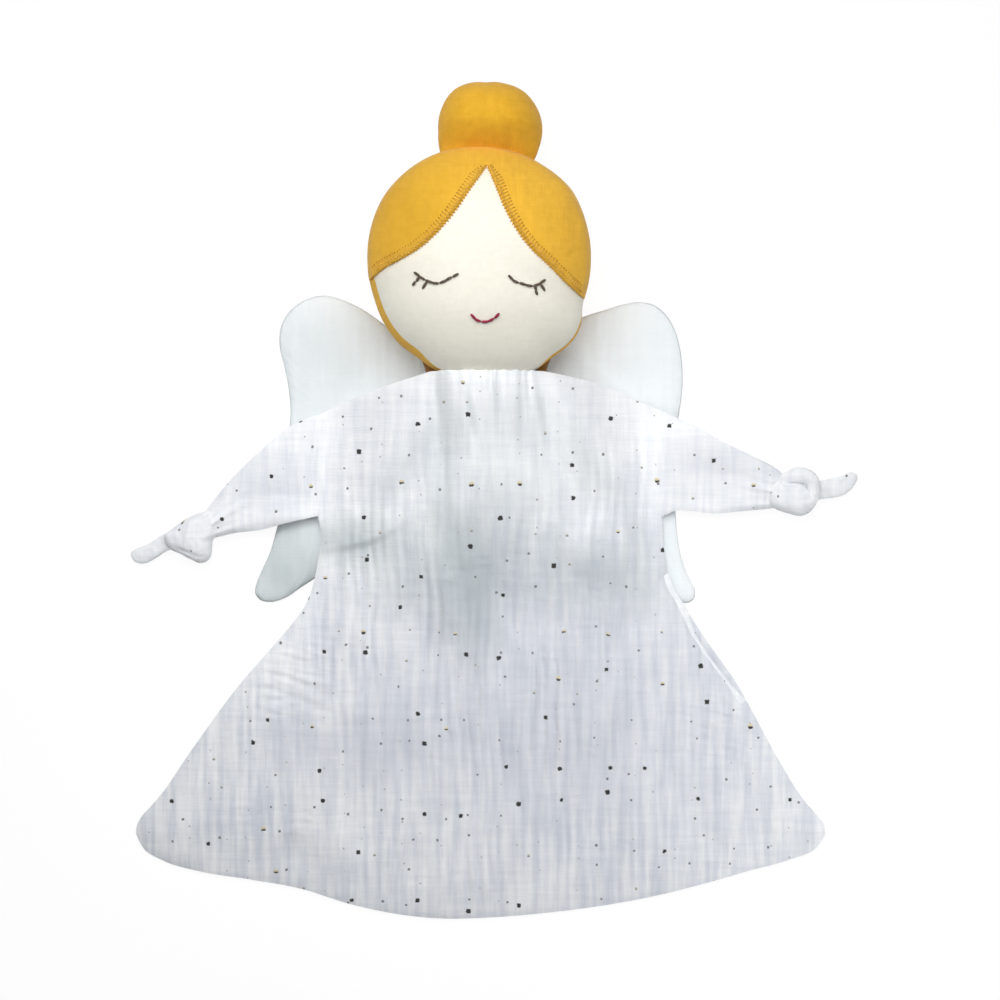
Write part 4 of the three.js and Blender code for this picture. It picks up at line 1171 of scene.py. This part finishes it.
BUN_MIDDLE = (490, 124)
BUN_TIED = (490, 152)
BUN_SLACK = 0.4
BUN_Z = (BUN_LOW[2] + BUN_HIGH[2]) / 2
BUN_DEEP = (BUN_HIGH[2] - BUN_LOW[2]) / 2 - BUN_SLACK
BUN_OUTLINE = [
    (440, 151), (438.3, 132.5), (441.9, 107.5), (447.7, 96.8), (455.7, 88.8), (464.6, 84.7), (486, 83),
    (506.6, 84.3), (526.3, 93.7), (533.4, 102.1), (539.6, 113.8), (542.3, 125.4), (538.8, 148.6),
    (532, 164), (524, 174), (505, 178), (480, 178), (455, 175), (443, 168), (440.5, 160),
]
BUN_POWER = 0.56
BUN_GATHERS = 0.6
BUN_GATHERS_REACH = 7
BUN_GATHERS_SIZE = 3
BUN_RELIEF = [(0.5, 9, 10, 52), (0.2, 3.4, 6, 53)]
BUN_TUCK = (0.3, 0.7)
BUN_TUCK_SPAN = (-7, 12)
BUN_TURNS = 200
BUN_RINGS = 40
BUN_NEAREST = 0.0005
BUN_SHIFT = (60, 90, 0)
bun_gaps = np.array(BUN_OUTLINE) - BUN_MIDDLE
bun_degrees = np.degrees(np.arctan2(-bun_gaps[:, 1], bun_gaps[:, 0]))
BUN_TABLE = around(np.stack([bun_degrees, np.linalg.norm(bun_gaps, axis=1)], axis=1))
BUN_TABLE = BUN_TABLE * PIXEL * (1 - BUN_Z / VIEW_HEIGHT)
BUN_X, BUN_Y = photo(BUN_MIDDLE, BUN_Z)
BUN_BASE = photo(BUN_TIED, BUN_Z)[1]


def bun_point(turn, share, side):
    """A point of the bun. side is 1 on its front and -1 on its back."""
    x, y = polar(BUN_X, BUN_Y, at_turn(BUN_TABLE, turn) * share, turn)
    up = y - BUN_BASE
    dome = np.clip(1 - share**2, 0, 1) ** BUN_POWER
    gathers = np.exp(-np.abs(up) / BUN_GATHERS_REACH) * noise((x - BUN_X) / BUN_GATHERS_SIZE, 0 * x, 51)
    tuck = BUN_TUCK[0] + BUN_TUCK[1] * ramp(up, *BUN_TUCK_SPAN)
    soft = BUN_GATHERS * gathers + relief(x, y, BUN_RELIEF)
    z = BUN_DEEP * dome * tuck + soft * (1 - share**6)
    return xyz(x, y, BUN_Z + side * z)


bun_turn = np.linspace(0, FULL_TURN, BUN_TURNS, endpoint=False)[None, :]
bun_ring = rings(BUN_RINGS, BUN_NEAREST)
bun_front, bun_back = (bun_point(bun_turn + 0 * bun_ring, bun_ring + 0 * bun_turn, side) for side in (1, -1))
bun_grid = np.concatenate([bun_front, bun_back[::-1][1:]])
bun = piece("bun", bun_grid, quads(bun_grid, wrap=True), BUN_SHADED_GAUZE, "mustard_gauze",
            ("bun_cover", "bun_stuffing"), flat_rest(bun_grid, BUN_SHIFT))
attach(bun, "bun")

# Wings

WING_LEFT = [
    (486, 385), (445, 365), (412, 344), (385, 325), (360, 308), (340, 299), (325, 295.5), (305, 300),
    (289, 312), (280.5, 328), (279.5, 345), (284, 365), (288.5, 388), (290.5, 410), (288, 440), (286, 480),
    (281, 510), (275, 535), (270, 552), (262, 570), (256, 585), (255, 593), (260, 600), (270, 602),
    (285, 598), (300, 588), (330, 570), (380, 558), (440, 552), (486, 545),
]
WING_RIGHT = [
    (486, 385), (525, 362), (556, 335), (583, 317), (605, 310), (625, 304), (640, 302), (653, 304.5),
    (665, 313.5), (674.5, 329), (680, 347), (682.5, 368), (682, 395), (679, 415), (675, 440), (674, 480),
    (676, 518), (678, 540), (682, 560), (690, 580), (695, 591), (694, 599), (687, 603), (677, 600),
    (660, 590), (630, 572), (590, 560), (530, 552), (486, 545),
]
WING_LEVEL = 2
WING_POINTS = 330
ROOT_POINTS = 60
WING_PARTING = 0.9
WING_MIDDLE = (40, 22)
WING_RINGS = 60
WING_NEAREST = 0.0003
WING_CROWDING = 0.8
WING_BASE = 1.3
WING_SWELL = [(1.2, 1.3), (1.7, 9)]
WING_SOFT_REACH = 4
WING_RELIEF = [(0.28, 3.2, 30, 0), (0.35, 14, 18, 1)]
WING_GATHERS = 0.30
WING_GATHERS_SIZE = 4.5
WING_GATHERS_REACH = (0.8, 4.5)
WING_DROP = [(0.8, 1.3)]
LOWEST = 0.1


def wing(side, outward, pixels, seed):
    """A padded wing, gathered along its sewn edge."""
    outline = along(photo(pixels, WING_LEVEL), WING_POINTS)
    root = along([outline[-1], outline[0]], ROOT_POINTS)[1:-1]
    outline = np.concatenate([outline, root])
    inner = WING_X + outward * WING_PARTING
    outline[:, 0] = np.where(outward * (outline[:, 0] - inner) < 0, inner, outline[:, 0])
    middle = np.array([WING_X + outward * WING_MIDDLE[0], WING_MIDDLE[1]])
    shares = np.linspace(0, 1, WING_RINGS)[:, None, None] ** WING_CROWDING
    flat = middle + np.maximum(shares, WING_NEAREST) * (outline - middle)
    x, y = flat[..., 0], flat[..., 1]
    edge = away(flat, outline)
    rough = grow(edge, WING_SOFT_REACH) * relief(x, y, WING_RELIEF, seed)
    place = np.arange(len(outline))[None, :] + 0 * edge
    gathers = WING_GATHERS * noise(place / WING_GATHERS_SIZE, 0 * edge, seed + 2)
    gathers = gathers * np.exp(-edge / WING_GATHERS_REACH[1]) * grow(edge, WING_GATHERS_REACH[0])
    top = WING_BASE + swell(edge, WING_SWELL) + rough + gathers
    low = np.maximum(WING_BASE - swell(edge, WING_DROP), LOWEST)
    grid = np.concatenate([xyz(x, y, top), xyz(x, y, low)[::-1][1:]])
    faces = quads(grid, wrap=True, flip=outward > 0)
    made = piece("wing_" + side, grid, faces, WHITE_GAUZE, "white_gauze",
                 (f"wing_{side}_base", f"wing_{side}_tip"), flat_rest(grid, WING_SHIFT))
    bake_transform(made)


wing("left", -1, WING_LEFT, 61)
wing("right", 1, WING_RIGHT, 66)

SEAM_STITCHES = 8
SEAM_POINTS = 7
SEAM_GAP = 0.8
SEAM_LEVELS = (0.9, 1.3, 0.9)
SEAM_R = 0.3
seam_low, seam_high = node_box("wing_seam")
seam_x = node_middle("wing_seam")[0]
seam_line = np.linspace(seam_low[1], seam_high[1], SEAM_STITCHES + 1)
seam_parts = []
for a, b in zip(seam_line[:-1], seam_line[1:]):
    path = [(seam_x, y, z) for y, z in zip((a, (a + b) / 2, b - SEAM_GAP), SEAM_LEVELS)]
    seam_parts.append(tube(along(path, SEAM_POINTS), SEAM_R, THIN_SIDES))
wing_stitch = piece("wing_stitches", *joined(seam_parts), WHITE_GAUZE, "white_gauze", ("wing_seam",))
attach(wing_stitch, "torso")

# Knots

BAND_POINTS = 64
BAND_SIDES = 40
BAND_END = 0.14
BAND_PLEATS = 7
BAND_WANDER = 2
BAND_WANDERS = 3
BAND_ROUGH = 1.2
BAND_BUMPS = 4
BAND_BUMP_SIDES = 4
LUMP_POINTS = 150
LUMP_RINGS = 34
LUMP_NEAREST = 0.0005
LUMP_RELIEF = [(0.25, 2.6, 2.6, 77)]
KNOT_LOWEST = 0.05
KNOT_SHEAR = (0.7, 0.5)
KNOT_SHIFT = (41, 297, 0)


def band(pixels, heights, widths, flat, pleats, seed):
    """A gathered length of cloth: a flattened tube with soft ends and pleats along it."""
    path = along(np.column_stack([photo(pixels, heights), heights, widths]), BAND_POINTS)
    t = np.linspace(0, 1, BAND_POINTS)
    soft = np.ones(BAND_POINTS)
    for far in (t, 1 - t):
        soft *= np.sqrt(np.clip(1 - (1 - np.clip(far / BAND_END, 0, 1)) ** 2, 0.01, 1))
    points, faces = tube(path[:, :3], path[:, 3] * soft, BAND_SIDES, flat)
    side = np.tile(np.arange(BAND_SIDES), BAND_POINTS)
    length = np.repeat(t, BAND_SIDES)
    wander = BAND_WANDER * noise(length * BAND_WANDERS, side * 0, seed)
    wave = BAND_PLEATS * FULL_TURN * side / BAND_SIDES + wander
    pleat = np.cos(wave) + BAND_ROUGH * noise(length * BAND_BUMPS, side / BAND_BUMP_SIDES, seed + 1)
    out = unit(points - np.repeat(path[:, :3], BAND_SIDES, axis=0))
    return points + (pleats * pleat * np.repeat(soft, BAND_SIDES))[:, None] * out, faces


def lump(pixels, level, rise, drop, folds=()):
    """A stuffed or doubled bit of cloth: it swells up and down from an outline of pixels at a level."""
    outline = along(photo([*pixels, pixels[0]], level), LUMP_POINTS + 1)[:-1]
    middle = outline.mean(axis=0)
    share = rings(LUMP_RINGS, LUMP_NEAREST)[::-1]
    flat = middle + share[..., None] * (outline - middle)
    x, y = flat[..., 0], flat[..., 1]
    dome = np.sqrt(np.clip(1 - share**3, 0, 1)) + 0 * x
    top = level + rise * dome + dome * relief(x, y, LUMP_RELIEF)
    for line, height, wide in folds:
        top = top + dome * fold(x, y, line, height, wide, wide, level + rise)
    low = np.maximum(level - drop * dome, LOWEST)
    grid = np.concatenate([xyz(x, y, low)[::-1][:-1], xyz(x, y, top)])
    clockwise = np.sum(np.cross(outline - middle, np.roll(outline, -1, axis=0) - middle)) < 0
    return grid.reshape(-1, 3), quads(grid, wrap=True, flip=not clockwise)


def knot(side, parts):
    """A sleeve's end tied round itself, with its tail drawn out."""
    points, faces = joined(parts)
    points[:, 2] = np.maximum(points[:, 2], KNOT_LOWEST)
    sheared = points + np.outer(points[:, 2], (*KNOT_SHEAR, 0))
    made = piece("tied_knot_" + side, points, faces, SPECKLED_GAUZE, "speckled_gauze",
                 (f"knot_{side}", f"knot_tail_{side}"), flat_rest(sheared, KNOT_SHIFT))
    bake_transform(made)
    return made


KNOT_LEFT = [
    (208, 510.5), (213, 522), (215.5, 535), (212.5, 542), (212, 551), (209.5, 559), (202, 563), (190, 559),
    (180, 553.7), (171, 549.6), (166, 543.5), (164, 536), (172, 529), (182, 521.5), (194, 515),
]
KNOT_LEFT_FOLDS = [
    ([(185, 516), (180, 528), (181, 546)], -1, 1.4),
    ([(192, 513), (187, 530), (186, 548)], 0.7, 1.7),
    ([(176, 523), (172, 535), (174, 548)], -0.8, 1.2),
    ([(207, 507), (211, 525), (213, 545)], 1, 1.8),
    ([(166, 544), (185, 552), (198, 557), (212, 554)], -0.9, 0.8),
]
TAIL_LEFT = [
    (176, 534), (168, 533), (150, 543), (131, 554.5), (133, 560), (139.5, 563.4), (146, 563), (156, 558),
    (166, 551.5), (175, 547),
]
KNOT_RIGHT = [
    (770, 484), (776, 479.5), (784, 482), (795, 481.5), (803, 484), (808, 490), (814, 497), (816, 503),
    (810.5, 511.5), (800.7, 516), (790, 514), (776, 509), (769, 504), (767, 494),
]
BAND_RIGHT = [
    (779, 486), (783, 481), (792, 476.5), (803, 475.5), (811, 480), (813.5, 489), (812.5, 499), (809, 506),
]
BAND_HEIGHTS = [5.5, 6.4, 7.4, 7.8, 7.6, 7.2, 6.6, 5.5]
BAND_WIDTHS = [1.4, 2, 2.8, 3, 2.9, 2.6, 2.2, 1.5]
TAIL_RIGHT = [
    (812, 482), (823, 480), (840, 476.5), (853, 472.5), (857.5, 476), (855, 484), (846, 493.6),
    (825, 498.5), (812, 499),
]
knot_left = knot("left", [
    lump(KNOT_LEFT, level=5.5, rise=5.6, drop=5.0, folds=KNOT_LEFT_FOLDS),
    lump(TAIL_LEFT, level=2.4, rise=1.4, drop=1.6),
])
knot_right = knot("right", [
    lump(KNOT_RIGHT, level=5.5, rise=5.0, drop=5.0),
    band(BAND_RIGHT, BAND_HEIGHTS, BAND_WIDTHS, flat=0.9, pleats=0.08, seed=15),
    lump(TAIL_RIGHT, level=2.6, rise=1.4, drop=1.6),
])

# A loop over the dress pieces but the neck hem, which does nothing.


for name, (points, faces) in dress_parts.items():
    if name == "neck_hem":
        continue

# Floor

FLOOR_HALF = 20
FLOOR_DROP = 0.3
FLOOR_TONE = (236, 236, 236)
FLOOR_GLOW = 1.06
FLOOR_GLOW_SHARE = 0.86
floor_mesh = bpy.data.meshes.new("floor")
corners = [(-FLOOR_HALF, -FLOOR_HALF, 0), (FLOOR_HALF, -FLOOR_HALF, 0)]
corners += [(FLOOR_HALF, FLOOR_HALF, 0), (-FLOOR_HALF, FLOOR_HALF, 0)]
floor_mesh.from_pydata(corners, [], [(0, 1, 2, 3)])
floor = bpy.data.objects.new("floor", floor_mesh)
bpy.context.scene.collection.objects.link(floor)
floor.location.z = -FLOOR_DROP * MM
white = Shader("floor_white")
white.put(white.surface, {"Base Color": colour(*FLOOR_TONE), "Roughness": 1.0, "Specular IOR Level": 0.0})
glow = white.add("Emission", {"Strength": FLOOR_GLOW})[0]
share = white.math("MULTIPLY", white.add("LightPath", {})["Is Camera Ray"], FLOOR_GLOW_SHARE)
mixed = white.add("MixShader", {0: share, 1: white.surface.outputs[0], 2: glow})[0]
white.put(white.nodes["Material Output"], {"Surface": mixed})
floor_mesh.materials.append(white.material)

# Light: name, place, target, size, watts and beam in degrees

LAMPS = [
    ("key", (-0.08, 0.46, 0.64), (0, 0.05, 0), 0.8, 2.98, 180),
    ("chest", (0.0, 0.14, 0.34), (0, 0.06, 0), 0.35, 0.27, 110),
    ("left", (-0.40, 0.20, 0.36), (-0.05, 0.04, 0), 0.3, 0.085, 60),
    ("right", (0.40, 0.20, 0.36), (0.055, 0.035, 0), 0.3, 0.054, 60),
    ("corner_right", (0.36, -0.34, 0.26), (0.115, -0.125, 0), 0.25, 0.125, 50),
    ("corner_left", (-0.34, -0.34, 0.26), (-0.11, -0.14, 0), 0.25, 0.045, 50),
]
for name, place, target, size, watts, beam in LAMPS:
    light = bpy.data.lights.new(name, "AREA")
    light.shape = "DISK"
    light.size = size
    light.energy = watts
    light.spread = math.radians(beam)
    lamp = bpy.data.objects.new(name, light)
    bpy.context.scene.collection.objects.link(lamp)
    lamp.location = place
    lamp.rotation_euler = (Vector(target) - Vector(place)).to_track_quat("-Z", "Y").to_euler()

WORLD_TONE = (0.95, 0.97, 1, 1)
WORLD_LIGHT = 0.02
WORLD_SEEN = 0.92
world = bpy.data.worlds.new("studio")
bpy.context.scene.world = world
world.use_nodes = True
background = world.node_tree.nodes["Background"]
background.inputs["Color"].default_value = WORLD_TONE
path = world.node_tree.nodes.new("ShaderNodeLightPath")
level = world.node_tree.nodes.new("ShaderNodeMapRange")
level.inputs["To Min"].default_value = WORLD_LIGHT
level.inputs["To Max"].default_value = WORLD_SEEN
world.node_tree.links.new(path.outputs["Is Camera Ray"], level.inputs["Value"])
world.node_tree.links.new(level.outputs["Result"], background.inputs["Strength"])

# Camera

CAMERA_REACH = 60
camera_data = bpy.data.cameras.new("camera")
camera_data.angle = 2 * math.atan(FRAME_PIXELS * PIXEL / 2 / VIEW_HEIGHT)
camera_data.clip_end = CAMERA_REACH
camera = bpy.data.objects.new("camera", camera_data)
bpy.context.scene.collection.objects.link(camera)
camera.location = (VIEW_X * MM, VIEW_Y * MM, VIEW_HEIGHT * MM)
bpy.context.scene.camera = camera
bpy.context.scene.view_settings.view_transform = "Standard"
